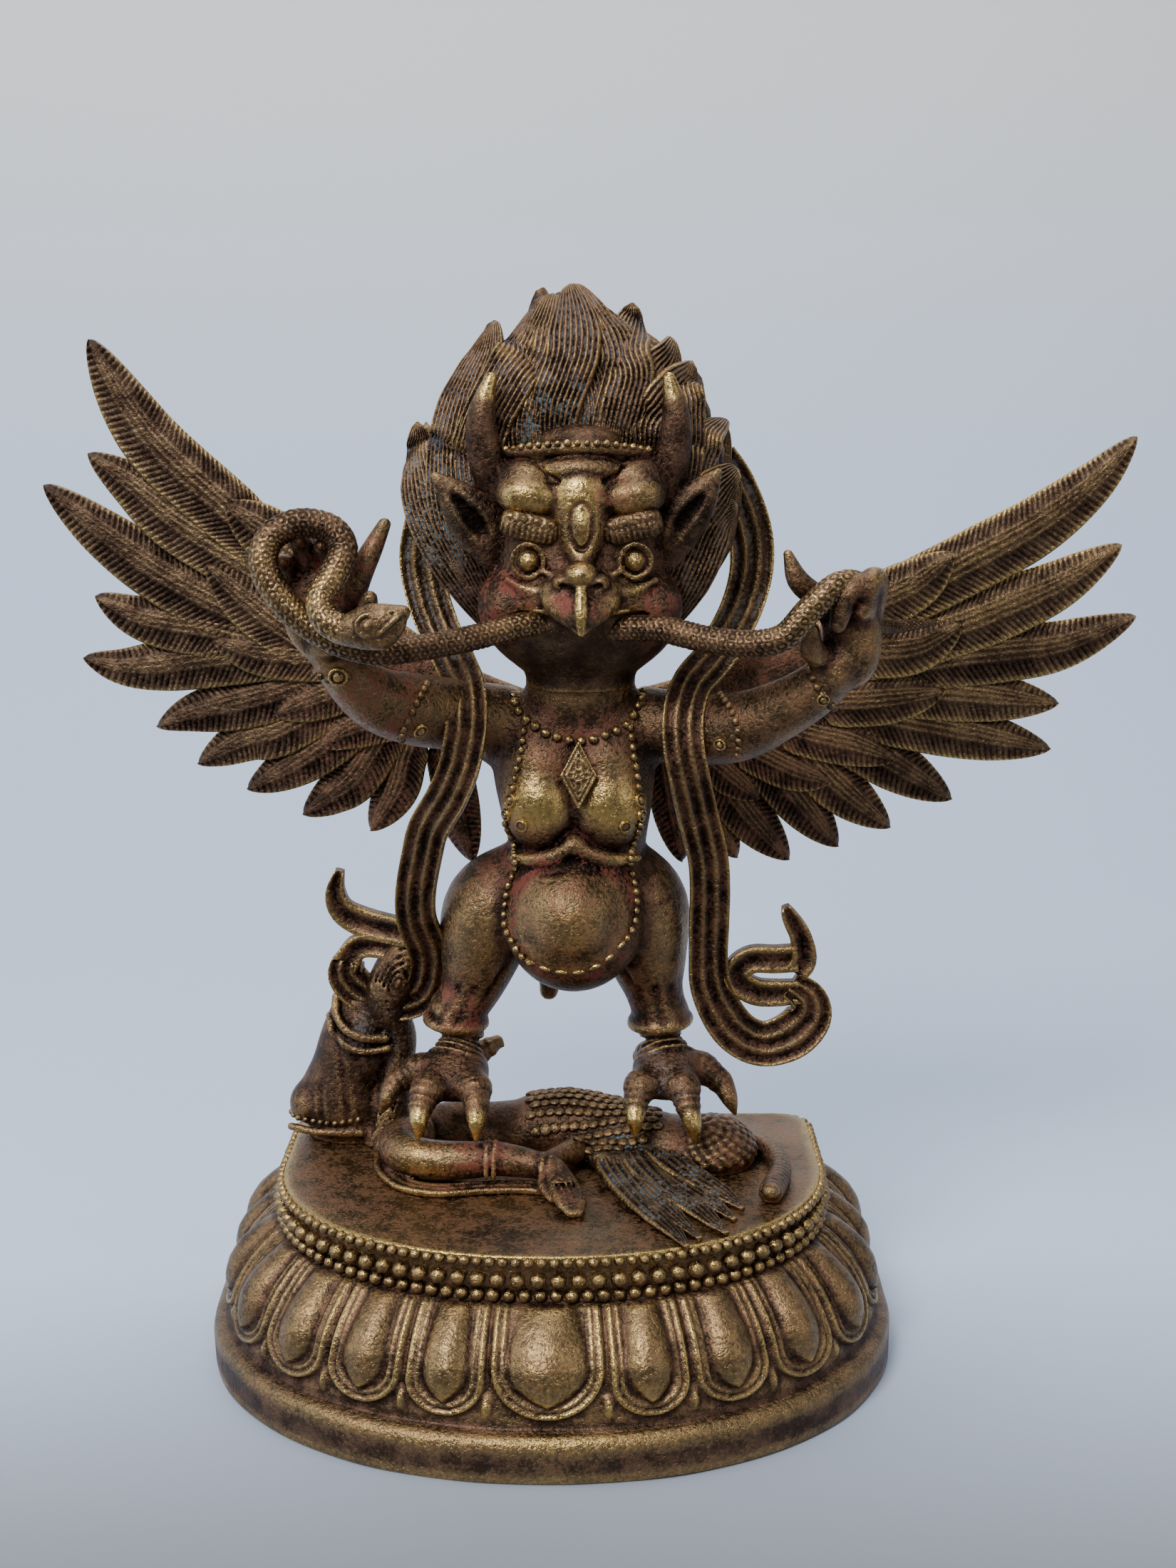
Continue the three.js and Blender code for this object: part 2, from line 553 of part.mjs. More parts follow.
function petals() {
  const pitch = PETAL_WIDTH + PETAL_GAP;
  const first = FRONT_PETAL_WIDTH / 2 + PETAL_GAP + PETAL_WIDTH / 2;
  const perSide = Math.floor((SIDE_END - first) / pitch) + 1;
  const ring = [...petal(0, FRONT_PETAL_WIDTH)];
  for (let i = 0; i < perSide; i += 1) {
    for (const side of [-1, 1]) {
      ring.push(...petal(side * (first + i * pitch), PETAL_WIDTH));
    }
  }
  return ring;
}

function pearls() {
  const pitch = 2 * PEARL_RADIUS + PEARL_GAP;
  const middle = PLINTH_HEIGHT - PEARL_BAND_HEIGHT / 2;
  const perSide = Math.floor(SIDE_END / pitch);
  const row = [];
  for (let i = -perSide; i <= perSide; i += 1) {
    const centre = onSide(i * pitch, groundOut(middle) - PEARL_ROOT, middle);
    const pearl = new THREE.OctahedronGeometry(PEARL_RADIUS, 0);
    pearl.translate(centre.x, centre.y, centre.z);
    row.push(solid(pearl));
  }
  return row;
}

function plinthGeometry() {
  return geometryOf(joined([plinthBody(), ...petals(), ...pearls()]));
}

const plinth = new THREE.Mesh(
  plinthGeometry(),
  new THREE.MeshStandardMaterial({ color: 0x8a7440, roughness: 0.42, metalness: 1 }),
);
plinth.name = "lotus_plinth";

const figure = new THREE.Mesh(
  figureGeometry(),
  new THREE.MeshStandardMaterial({ color: 0x7a6038, roughness: 0.45, metalness: 1 }),
);
figure.name = "garuda_figure";
figure.position.set(0, 0, PLINTH_HEIGHT + SEAT_GAP);

const garuda = new THREE.Group();
garuda.add(plinth, figure);

export default garuda;
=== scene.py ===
import math

import bpy
import numpy as np
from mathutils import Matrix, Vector
from mathutils.bvhtree import BVHTree


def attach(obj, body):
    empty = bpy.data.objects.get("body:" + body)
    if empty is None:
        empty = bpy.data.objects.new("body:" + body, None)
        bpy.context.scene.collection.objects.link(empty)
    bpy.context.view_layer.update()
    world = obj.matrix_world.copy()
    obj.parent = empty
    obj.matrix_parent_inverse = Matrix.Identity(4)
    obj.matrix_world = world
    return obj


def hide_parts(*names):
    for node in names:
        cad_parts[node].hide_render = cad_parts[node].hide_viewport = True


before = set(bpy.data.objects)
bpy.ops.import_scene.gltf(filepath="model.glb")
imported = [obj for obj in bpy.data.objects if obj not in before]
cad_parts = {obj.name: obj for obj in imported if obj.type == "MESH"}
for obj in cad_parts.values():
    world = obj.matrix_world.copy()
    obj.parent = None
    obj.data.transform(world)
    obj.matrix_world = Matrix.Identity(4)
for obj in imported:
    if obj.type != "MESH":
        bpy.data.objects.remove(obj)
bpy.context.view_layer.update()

# CAMERA AND ROOM
# The figure stands on seamless pale grey paper under a large soft window light from the upper left.
# The camera is a little above the figure's middle and looks down by 12 degrees.
SENSOR = 36
PHOTO_HEIGHT = 2200
FOCAL_PIXELS = 2800
LOOKS_DOWN = 12
EYE = (0.0114, -0.597, 0.308)
camera = bpy.data.objects.new("camera", bpy.data.cameras.new("camera"))
camera.location = EYE
camera.rotation_euler = (math.radians(90 - LOOKS_DOWN), 0, 0)
camera.data.lens = SENSOR * FOCAL_PIXELS / PHOTO_HEIGHT
camera.data.sensor_width = SENSOR
camera.data.clip_start = 0.01
bpy.context.scene.collection.objects.link(camera)
bpy.context.scene.camera = camera


def paint(hex_colour):
    """An sRGB hex colour as linear red, green, blue and alpha."""
    channels = [int(hex_colour[i:i + 2], 16) / 255 for i in (1, 3, 5)]
    return (*[c / 12.92 if c <= 0.04045 else ((c + 0.055) / 1.055) ** 2.4 for c in channels], 1)


def node(tree, kind, settings=None, links=None):
    """Adds a node. Settings go to its properties or, by name or number, to its inputs, and links feed these."""
    made = tree.nodes.new(kind)
    for key, value in (settings or {}).items():
        if isinstance(key, str) and hasattr(made, key):
            setattr(made, key, value)
        else:
            made.inputs[key].default_value = value
    for key, source in (links or {}).items():
        tree.links.new(source, made.inputs[key])
    return made


def paper_backdrop():
    """Matt grey-blue paper without gloss, faintly cloudy, with painted light: darker at the front, paler up the
    back.
    """
    material = bpy.data.materials.new("matt backdrop paper")
    material.use_nodes = True
    tree = material.node_tree
    tree.nodes.clear()
    place = node(tree, "ShaderNodeTexCoord")
    cloud = node(tree, "ShaderNodeTexNoise", {"Scale": 2.5, "Detail": 2.0}, {"Vector": place.outputs["Object"]})
    run_back = node(tree, "ShaderNodeSeparateXYZ", None, {"Vector": place.outputs["Object"]})

    def light_falloff(axis, low, top):
        settings = {"From Min": low, "From Max": top, "interpolation_type": "SMOOTHSTEP"}
        return node(tree, "ShaderNodeMapRange", settings, {"Value": run_back.outputs[axis]}).outputs[0]

    # Painted light and shade: the paper darkens towards the table's front edge and grows paler further back and
    # up the curve.
    share = node(tree, "ShaderNodeMath", {"operation": "MULTIPLY_ADD", 1: 0.12},
                 {0: cloud.outputs["Fac"], 2: light_falloff("Y", -0.22, 0.1)})
    near = node(tree, "ShaderNodeMix", {"data_type": "RGBA", 6: paint("#67625D"), 7: paint("#CDDDF6")},
                {0: share.outputs[0]})
    tone = node(tree, "ShaderNodeMix", {"data_type": "RGBA", 7: paint("#F2F2F0")},
                {0: light_falloff("Z", 0.12, 0.55), 6: near.outputs[2]})
    shader = node(tree, "ShaderNodeBsdfPrincipled", {"Roughness": 0.9}, {"Base Color": tone.outputs[2]})
    node(tree, "ShaderNodeOutputMaterial", None, {"Surface": shader.outputs[0]})
    return material


# One sheet: flat on the table, and curved up behind the figure.
SHEET_HALF = 2.6
SHEET_FRONT = -1.6
BEND_START = 0.55
BEND = 0.5
across = np.linspace(-SHEET_HALF, SHEET_HALF, 9)
run = [(y, 0.0) for y in np.linspace(SHEET_FRONT, BEND_START, 8)]
run += [(BEND_START + BEND * math.sin(t), BEND - BEND * math.cos(t)) for t in np.linspace(0.1, math.pi / 2, 14)]
run += [(BEND_START + BEND, z) for z in np.linspace(BEND + 0.2, SHEET_HALF, 6)]
sheet_points = [(x, y, z) for y, z in run for x in across]
columns = len(across)
sheet_faces = [(r * columns + c, r * columns + c + 1, (r + 1) * columns + c + 1, (r + 1) * columns + c)
               for r in range(len(run) - 1) for c in range(columns - 1)]
backdrop = bpy.data.objects.new("paper_backdrop", bpy.data.meshes.new("paper_backdrop"))
backdrop.data.from_pydata(sheet_points, [], sheet_faces)
backdrop.data.materials.append(paper_backdrop())
backdrop.data.shade_smooth()
bpy.context.scene.collection.objects.link(backdrop)
FIGURE_MIDDLE = Vector((0, 0, 0.16))
for name, place, size, watts, tint in (
    ("window", (-0.5, -1.0, 1.25), 0.55, 22, (0.99, 0.99, 1.0)),
    ("left_fill", (-1.5, -0.2, 0.7), 1.2, 10, (0.86, 0.93, 1.0)),
    ("right_fill", (1.3, -0.9, 0.8), 1.0, 5, (1.0, 0.98, 0.95)),
    ("top_fill", (0.1, 0.35, 1.7), 1.2, 14, (1.0, 1.0, 1.0)),
):
    lamp = bpy.data.objects.new(name, bpy.data.lights.new(name, "AREA"))
    lamp.data.shape = "SQUARE"
    lamp.data.size = size
    lamp.data.energy = watts
    lamp.data.color = tint
    lamp.location = place
    lamp.rotation_euler = (FIGURE_MIDDLE - Vector(place)).to_track_quat("-Z", "Y").to_euler()
    bpy.context.scene.collection.objects.link(lamp)
world = bpy.data.worlds.new("room")
world.use_nodes = True
room_light = world.node_tree.nodes["Background"]
room_light.inputs["Color"].default_value = (0.64, 0.68, 0.73, 1)
room_light.inputs["Strength"].default_value = 0.3
bpy.context.scene.world = world
bpy.context.scene.view_settings.view_transform = "AgX"


# LOTUS PLINTH
# Half-round base of cast brass: a wide foot, a ring of swelling lotus petals with raised double rims, and a
# plain flat back. It is cast with its plate, then chased, gilded, painted red and rubbed bright on high spots.
def gilt_brass():
    """Cast brass, gilded and then worn: gold where hands and cloths rub it, brown-black patina in the hollows,
    with rests of red ground and of blue pigment. Metal, satin where it is rubbed and duller in the patina.
    Beads and scales bring painted light and shade in their relief, and the plinth's sides painted shade in
    polish."""
    material = bpy.data.materials.new("worn gilt cast brass")
    material.use_nodes = True
    tree = material.node_tree
    tree.nodes.clear()
    place = node(tree, "ShaderNodeTexCoord").outputs["Object"]

    def mottle(millimetres, detail=4.0):
        settings = {"Scale": 1000 / millimetres, "Detail": detail, "Roughness": 0.55}
        return node(tree, "ShaderNodeTexNoise", settings, {"Vector": place}).outputs["Fac"]

    def sums(operation, a, b, clamp=False):
        made = node(tree, "ShaderNodeMath", {"operation": operation, "use_clamp": clamp})
        for i, value in enumerate((a, b)):
            if isinstance(value, (int, float)):
                made.inputs[i].default_value = value
            else:
                tree.links.new(value, made.inputs[i])
        return made.outputs[0]

    def band(value, low, high):
        settings = {"From Min": low, "From Max": high, "interpolation_type": "SMOOTHSTEP"}
        return node(tree, "ShaderNodeMapRange", settings, {"Value": value}).outputs[0]

    def blend(share, a, b):
        made = node(tree, "ShaderNodeMix", {"data_type": "RGBA"})
        for i, value in ((0, share), (6, a), (7, b)):
            if isinstance(value, str):
                made.inputs[i].default_value = paint(value)
            else:
                tree.links.new(value, made.inputs[i])
        return made.outputs[2]

    # The relief and polish carry the casting's hollows and rubbed spots, and on some pieces painted light and
    # shade.
    relief, polish, red, blue = (node(tree, "ShaderNodeAttribute", {"attribute_name": name}).outputs["Fac"]
                                 for name in ("relief", "polish", "red", "blue"))
    broad = mottle(28)
    middle = mottle(7)
    fine = mottle(1.15, 3.0)
    grain = mottle(0.5, 2.0)
    # How far the patina is rubbed off: 0 in the hollows, 1 on the bright edges. On beads, scales and the
    # plinth's sides it also carries painted light and shade.
    wear_and_painted_light = sums("ADD", sums("MULTIPLY", relief, 0.62), sums("MULTIPLY", polish, 0.75))
    for noise, weight in ((broad, 0.35), (middle, 0.55), (fine, 0.9), (grain, 0.6)):
        wear_and_painted_light = sums("ADD", wear_and_painted_light, sums("MULTIPLY", sums("SUBTRACT", noise, 0.5), weight))
    brown = blend(band(middle, 0.35, 0.7), "#48372D", "#61503F")
    dark = blend(band(wear_and_painted_light, -0.8, 0.0), "#17110E", brown)
    worn = blend(band(wear_and_painted_light, -0.05, 0.5), dark, "#87704F")
    gold = blend(band(wear_and_painted_light, 0.38, 1.0), worn, "#C6A867")
    red_share = sums("MULTIPLY", red, band(sums("ADD", middle, sums("MULTIPLY", fine, 0.9)), 0.88, 1.04), True)
    red_share = sums("MULTIPLY", red_share, band(wear_and_painted_light, 1.1, 0.45))
    painted = blend(red_share, gold, blend(fine, "#5A241B", "#8C4634"))
    blue_share = sums("MULTIPLY", blue, band(sums("ADD", middle, fine), 0.98, 1.12), True)
    blue_share = sums("MULTIPLY", blue_share, band(wear_and_painted_light, 0.35, -0.1))
    colour = blend(blue_share, painted, blend(fine, "#2E4A55", "#6C98A6"))
    pigment = sums("MAXIMUM", red_share, blue_share)
    metal = sums("SUBTRACT", 1.0, sums("MULTIPLY", pigment, 0.8))
    gloss = sums("SUBTRACT", sums("ADD", 0.47, sums("MULTIPLY", sums("SUBTRACT", fine, 0.5), 0.5)),
                 sums("MULTIPLY", band(wear_and_painted_light, 0.0, 0.8), 0.19))
    smooth = band(polish, 0.0, 0.6)
    gloss = sums("ADD", gloss, sums("MULTIPLY", pigment, 0.2))
    gloss = sums("SUBTRACT", gloss, sums("MULTIPLY", smooth, 0.03), True)
    pits = band(mottle(1.3, 2.0), 0.42, 0.3)
    height = sums("ADD", sums("MULTIPLY", middle, 0.9), sums("MULTIPLY", fine, 0.8))
    height = sums("SUBTRACT", sums("ADD", height, sums("MULTIPLY", grain, 0.22)), sums("MULTIPLY", pits, 0.3))
    height = sums("MULTIPLY", height, sums("SUBTRACT", 1.0, sums("MULTIPLY", smooth, 0.4)))
    bump = node(tree, "ShaderNodeBump", {"Strength": 1.0, "Distance": 0.00055}, {"Height": height})
    shader = node(tree, "ShaderNodeBsdfPrincipled", None, {"Base Color": colour, "Metallic": metal,
                                                          "Roughness": gloss, "Normal": bump.outputs[0]})
    node(tree, "ShaderNodeOutputMaterial", None, {"Surface": shader.outputs[0]})
    return material


cast_brass = gilt_brass()


def normals_of(mesh):
    """The outward direction at each point of a mesh."""
    normal = np.empty(len(mesh.vertices) * 3, np.float32)
    mesh.vertices.foreach_get("normal", normal)
    return normal.reshape(-1, 3)


def dressed(name, mesh, part, relief, polish, red, blue):
    """Makes a mesh a piece of the casting. It gets the four values that the brass reads, in all or for each
    point, and its object rides on the body in the place of a CAD part."""
    for key, value in (("relief", relief), ("polish", polish), ("red", red), ("blue", blue)):
        layer = mesh.attributes.new(key, "FLOAT", "POINT")
        values = np.broadcast_to(np.asarray(value, np.float32), (len(mesh.vertices),))
        layer.data.foreach_set("value", np.ascontiguousarray(values))
    if not mesh.materials:
        mesh.materials.append(cast_brass)
    made = bpy.data.objects.new(name, mesh)
    bpy.context.scene.collection.objects.link(made)
    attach(made, "root")
    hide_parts(part)


def casting(name, points, faces, part, polish=0.0, red=0.35, blue=0.0, reach=3, depth=0.1):
    """A piece of the casting from points in millimetres. Its hollows and high spots are kept in "relief", from
    -1 to 1, and reach it at about "depth". A fourth number of a point adds to its relief."""
    points = np.asarray(points, float)
    drawn = points[:, 3] if points.shape[1] > 3 else 0.0
    points = points[:, :3]
    faces = np.asarray(faces, np.int32)
    count, corners = faces.shape
    mesh = bpy.data.meshes.new(name)
    mesh.vertices.add(len(points))
    mesh.vertices.foreach_set("co", (points / 1000).astype(np.float32).ravel())
    mesh.loops.add(count * corners)
    mesh.loops.foreach_set("vertex_index", faces.ravel())
    mesh.polygons.add(count)
    mesh.polygons.foreach_set("loop_start", np.arange(0, count * corners, corners, dtype=np.int32))
    mesh.polygons.foreach_set("use_smooth", np.ones(count, bool))
    mesh.update(calc_edges=True)
    mesh.validate()
    edges = np.empty(len(mesh.edges) * 2, np.int32)
    mesh.edges.foreach_get("vertices", edges)
    a, b = edges.reshape(-1, 2).T
    degree = np.maximum(np.bincount(a, minlength=len(points)) + np.bincount(b, minlength=len(points)), 1)

    def eased(values):
        total = np.bincount(a, values[b], len(points)) + np.bincount(b, values[a], len(points))
        return 0.5 * values + 0.5 * (total / degree)

    level = points.copy()
    for _ in range(reach):
        level = np.stack([eased(level[:, i]) for i in range(3)], 1)
    rise = eased(eased(((points - level) * normals_of(mesh)).sum(1)))
    dressed(name, mesh, part, np.clip(np.tanh(rise / depth) + drawn, -1.2, 1.1), polish, red, blue)


def way_along(line):
    """The distance along a line to each of its points."""
    return np.concatenate([[0], np.cumsum(np.linalg.norm(np.diff(line, axis=0), axis=1))])


PLATE_TOP = 58.0
PLATE_HALF = 84.5
PLATE_FRONT = 69.0
PLATE_BACK = 42.0
PLATE_MIDDLE = -6.0
CORNER = 9.0
OVAL = 2.15
turn = np.linspace(0, math.pi / 2, 600)
front = np.stack([PLATE_HALF * np.sin(turn) ** (2 / OVAL), -PLATE_FRONT * np.cos(turn) ** (2 / OVAL)], 1)
turn = np.linspace(0, math.pi / 2, 40)
corner = np.stack([PLATE_HALF - CORNER + CORNER * np.cos(turn), PLATE_BACK - CORNER + CORNER * np.sin(turn)], 1)
half_outline = np.concatenate([front, [[PLATE_HALF, 15.0]], corner, [[0.0, PLATE_BACK]]])
half_way = way_along(half_outline)
HALF_LENGTH = half_way[-1]
SIDE_END = HALF_LENGTH - PLATE_HALF + CORNER / 2


def rim_at(along):
    """Points of the plate's edge, and its outward direction, at distances along it from the front's middle."""
    def point(s):
        s = (np.asarray(s, float) + HALF_LENGTH) % (2 * HALF_LENGTH) - HALF_LENGTH
        x = np.interp(np.abs(s), half_way, half_outline[:, 0]) * np.sign(s)
        return np.stack([x, np.interp(np.abs(s), half_way, half_outline[:, 1])], -1)

    ahead = point(along + 1.2) - point(along - 1.2)
    out = np.stack([ahead[..., 1], -ahead[..., 0]], -1)
    out /= np.linalg.norm(out, axis=-1, keepdims=True)
    return point(along), out


BACK_FLARE = 0.085


def on_side(along, out, z):
    """Points of the plinth's side: "out" is measured from the plate's edge, and is small on the flat back."""
    edge, direction = rim_at(along)
    flare = 1 - (1 - BACK_FLARE) * np.clip(direction[..., 1], 0, 1)
    place = edge + direction * (np.stack([np.ones_like(flare), flare], -1) * np.asarray(out)[..., None])
    return np.stack([place[..., 0], place[..., 1], np.broadcast_to(z, place.shape[:-1])], -1)


# The side from the floor up, as distances out from the plate's edge and heights.
SIDE_PROFILE = np.array([
    (22.6, 0.0), (23.4, 0.9), (23.5, 4.0), (23.5, 10.5), (22.9, 12.6), (21.4, 13.6), (19.9, 14.0), (18.9, 14.3),
    (18.3, 14.9), (18.2, 16.2), (17.6, 18.0), (16.6, 22.0), (15.2, 26.5), (13.0, 31.5), (9.8, 36.5),
    (6.0, 40.6), (2.6, 43.6), (0.6, 44.6), (0.1, 45.4), (0.1, 56.0), (0.5, 57.4), (0.0, PLATE_TOP),
])
PETAL_PITCH = 21.5
PETAL_GAP = 1.2
PETAL_TOP = 44.4
PETAL_FOOT = 17.2
PETAL_ROUND = 0.92
FRONT_PETAL = 29.4
SIDE_PETALS = int((SIDE_END - FRONT_PETAL / 2 - 11.5) // PETAL_PITCH) + 1
petals = [(0.0, FRONT_PETAL)]
for i in range(SIDE_PETALS):
    for side in (-1, 1):
        centre = side * (FRONT_PETAL / 2 + 1.3 + PETAL_PITCH * (i + 0.5) - 0.75)
        petals.append((centre, PETAL_PITCH - PETAL_GAP))


def ridge(inside, start, width, height, power):
    """A rounded ridge that begins at a distance inside the petal's edge."""
    return height * np.clip(np.sin(np.pi * np.clip((inside - start) / width, 0, 1)), 0, 1) ** power


def petal_relief(along, z):
    """Height of the petals above the side: outer rim, groove, inner rim, and the swelling, pointed tongue."""
    relief = np.zeros(np.broadcast(along, z).shape)
    for centre, width in petals:
        half = width / 2
        x = np.abs(along - centre)
        drop = np.minimum(z - (PETAL_FOOT + half * PETAL_ROUND), 0) / PETAL_ROUND
        inside = half - np.hypot(x, drop)
        rims = np.maximum(ridge(inside, 0, 2.1, 1.5, 0.6), ridge(inside, 2.3, 1.6, 1.2, 0.7))
        ground = 0.5 * np.clip(inside / 0.6, 0, 1)
        rise = (z - (PETAL_FOOT + 4.0)) / (PETAL_TOP - PETAL_FOOT - 4.0)
        waist = np.sin(0.5 * np.pi * np.clip(rise / 0.42, 0, 1)) ** 0.58
        waist = waist * (1 - 0.3 * np.clip((rise - 0.42) / 0.58, 0, 1) ** 1.3)
        within = np.clip(1 - (x / np.maximum((half - 3.8) * waist, 0.01)) ** 2, 0, 1)
        swell = 5.4 if width == FRONT_PETAL else 4.8
        swell = swell * within ** 0.8 * np.sin(np.pi * np.clip(0.1 + 0.72 * rise, 0, 1)) ** 0.8
        tongue = np.where((rise > 0) & (within > 0), 0.5 + swell, 0)
        tip = 0.8 * np.exp(-(x / 0.8) ** 2) * np.clip(1 - np.abs(z - PETAL_FOOT - 3.2) / 2.2, 0, 1)
        here = np.maximum.reduce([ground + rims, tongue, ground + tip])
        relief = np.where(inside > 0, np.maximum(relief, here), relief)
    centres = sorted(centre for centre, _ in petals)
    for left, right in zip(centres[:-1], centres[1:]):
        middle = (left + right) / 2
        if left == 0:
            middle = FRONT_PETAL / 2 + 0.7
        if right == 0:
            middle = -FRONT_PETAL / 2 - 0.7
        bud = 1.9 * np.exp(-((along - middle) / 1.1) ** 2) * np.clip(1 - np.abs(z - 20.2) / 3.6, 0, 1) ** 0.6
        relief = np.maximum(relief, bud)
    return relief


def drawn_in(ring, share):
    """A ring of the plinth drawn in towards the plate's middle."""
    made = ring.copy()
    made[:, 0] = ring[:, 0] * share
    made[:, 1] = PLATE_MIDDLE + (ring[:, 1] - PLATE_MIDDLE) * share
    return made


def closed(rings, ends=None, clockwise=True):
    """A closed skin over rings of points that run clockwise or the other way, seen from the first to the last.
    Each has an even number of points, and each end is a fan of four-cornered faces round its middle."""
    rows, around = rings.shape[:2]
    index = np.arange(rows * around).reshape(rows, around)
    beside = np.roll(index, -1, 1)
    walls = [index[:-1], beside[:-1], beside[1:], index[1:]]
    faces = [np.stack(walls[::-1] if clockwise else walls, -1).reshape(-1, 4)]
    for k, ring in enumerate((index[0], index[-1])):
        fan = [ring[::2], ring[1::2], np.roll(ring, -2)[::2]]
        fan = fan[::-1] if clockwise == (k == 1) else fan
        faces.append(np.stack([*fan, np.full(around // 2, rows * around + k)], 1))
    middles = [rings[0].mean(0), rings[-1].mean(0)] if ends is None else ends
    return np.concatenate([rings.reshape(rows * around, -1), middles]), np.concatenate(faces)


fine_edge = np.arange(-SIDE_END - 3, SIDE_END + 3, 0.68)
back_count = 56 + len(fine_edge) % 2
back_edge = np.linspace(SIDE_END + 3, 2 * HALF_LENGTH - SIDE_END - 3, back_count, endpoint=False)
side_rows = []
for low, high in zip(SIDE_PROFILE[:-1], SIDE_PROFILE[1:]):
    pitch = 0.66 if 15 < high[1] < 45 else 1.4
    parts = max(1, int(math.hypot(*(high - low)) / pitch))
    side_rows += [low + (high - low) * i / parts for i in range(parts)]
outs, heights = np.array(side_rows + [SIDE_PROFILE[-1]]).T
along, z = np.meshgrid(np.concatenate([fine_edge, back_edge]), heights)
raised = petal_relief(along, z) * np.clip((z - 16.6) / 0.8, 0, 1) * np.clip((45.2 - z) / 0.9, 0, 1)
dents = 0.16 * np.sin(along * 0.21 + 1.3) * np.sin(z * 0.33 + along * 0.05)
side_points = on_side(along, outs[:, None] + raised + dents * (z > 0) * (z < 57) - 0.16, z)
plate = [drawn_in(side_points[-1], share) for share in (0.985, 0.96, 0.9, 0.8, 0.68, 0.55, 0.4, 0.25, 0.1)]
for ring in plate:
    ring[:, 2] = PLATE_TOP - 0.12 * np.sin(ring[:, 0] * 0.11) * np.sin(ring[:, 1] * 0.17 + 1)
underside = [drawn_in(side_points[0], share) for share in (0.1, 0.4, 0.7, 0.93)]
points, faces = closed(np.concatenate([underside, side_points, plate]),
                       [(0, PLATE_MIDDLE, 0), (0, PLATE_MIDDLE, PLATE_TOP)], clockwise=False)
on_plate = points[:, 2] > PLATE_TOP - 0.4
# Painted shade: the sides grow darker away from the front's middle, where they turn from the light; the foot is
# kept duller than the petals.
side_wear_and_shade = np.where(points[:, 2] < 14, 0.04, 0.52) - 0.003 * np.abs(points[:, 0])
casting("lotus_plinth_cast", points, faces, "lotus_plinth", polish=np.where(on_plate, 0.42, side_wear_and_shade),
        red=np.where(on_plate, 0.42, 0.2), reach=5, depth=0.26)


# BEAD ROWS OF THE PLINTH
# Three rows of cast pearls between the plate and the petals: small, large and small, chased round and rubbed,
# with painted light on their tops and painted shade underneath.
# They are part of the plinth's casting, and they run round the front and the sides, up to the flat back.
def node_group(name, inputs):
    """An empty Geometry Nodes tree with the named inputs, and the identifiers of their sockets."""
    tree = bpy.data.node_groups.new(name, "GeometryNodeTree")
    for way in ("INPUT", "OUTPUT"):
        tree.interface.new_socket("Geometry", in_out=way, socket_type="NodeSocketGeometry")
    sockets = {key: tree.interface.new_socket(key, in_out="INPUT", socket_type="NodeSocket" + kind).identifier
               for key, kind in inputs.items()}
    return tree, sockets


def laid_out(tree, given, places, turned, shape, change, length):
    """The end of a tree: a shape on each place, its size and length varied, as plain mesh in its material."""
    longer = node(tree, "ShaderNodeMath", {"operation": "MULTIPLY"}, {0: change, 1: length})
    size = node(tree, "ShaderNodeCombineXYZ", None, {"X": change, "Y": change, "Z": longer.outputs[0]})
    rows = node(tree, "GeometryNodeInstanceOnPoints", None,
                {"Points": places, "Instance": shape, "Rotation": turned, "Scale": size.outputs[0]})
    real = node(tree, "GeometryNodeRealizeInstances", None, {0: rows.outputs[0]})
    smooth = node(tree, "GeometryNodeSetShadeSmooth", None, {0: real.outputs[0]})
    in_brass = node(tree, "GeometryNodeSetMaterial", None,
                    {"Geometry": smooth.outputs[0], "Material": given.outputs["Material"]})
    node(tree, "NodeGroupOutput", None, {0: in_brass.outputs[0]})


def bead_string():
    """Geometry Nodes: beads of a given radius and pitch along a line. "Stretch" lengthens them along it."""
    tree, sockets = node_group("bead string", {"Radius": "Float", "Pitch": "Float", "Stretch": "Float",
                                               "Unevenness": "Float", "Seed": "Int", "Material": "Material"})
    given = node(tree, "NodeGroupInput")
    line = node(tree, "GeometryNodeMeshToCurve", None, {"Mesh": given.outputs["Geometry"]})
    spaced = node(tree, "GeometryNodeResampleCurve", {"mode": "LENGTH"},
                  {"Curve": line.outputs[0], "Length": given.outputs["Pitch"]})
    as_points = node(tree, "GeometryNodeCurveToPoints", {"mode": "EVALUATED"}, {"Curve": spaced.outputs[0]})
    bead = node(tree, "GeometryNodeMeshUVSphere", {"Segments": 8, "Rings": 6},
                {"Radius": given.outputs["Radius"]})
    least = node(tree, "ShaderNodeMath", {"operation": "SUBTRACT", 0: 1.0}, {1: given.outputs["Unevenness"]})
    change = node(tree, "FunctionNodeRandomValue", {"data_type": "FLOAT", 3: 1.0},
                  {2: least.outputs[0], "Seed": given.outputs["Seed"]})
    laid_out(tree, given, as_points.outputs[0], as_points.outputs["Rotation"], bead.outputs[0],
             change.outputs[1], given.outputs["Stretch"])
    return tree, sockets


bead_tree, bead_sockets = bead_string()


def evaluated(tree, sockets, values, points, edges=(), facing=None):
    """The plain mesh that a node group makes of a line, or of points that face a way, in millimetres."""
    mesh = bpy.data.meshes.new("places")
    mesh.from_pydata([tuple(p) for p in np.asarray(points, float) / 1000], edges, [])
    if facing is not None:
        layer = mesh.attributes.new("facing", "FLOAT_VECTOR", "POINT")
        layer.data.foreach_set("vector", np.ascontiguousarray(facing, dtype=np.float32).ravel())
    made = bpy.data.objects.new("places", mesh)
    bpy.context.scene.collection.objects.link(made)
    modifier = made.modifiers.new("work", "NODES")
    modifier.node_group = tree
    for key, value in values.items():
        modifier[sockets[key]] = value
    bpy.context.view_layer.update()
    result = bpy.data.meshes.new_from_object(made.evaluated_get(bpy.context.evaluated_depsgraph_get()))
    made.modifiers.clear()
    bpy.data.objects.remove(made)
    return result


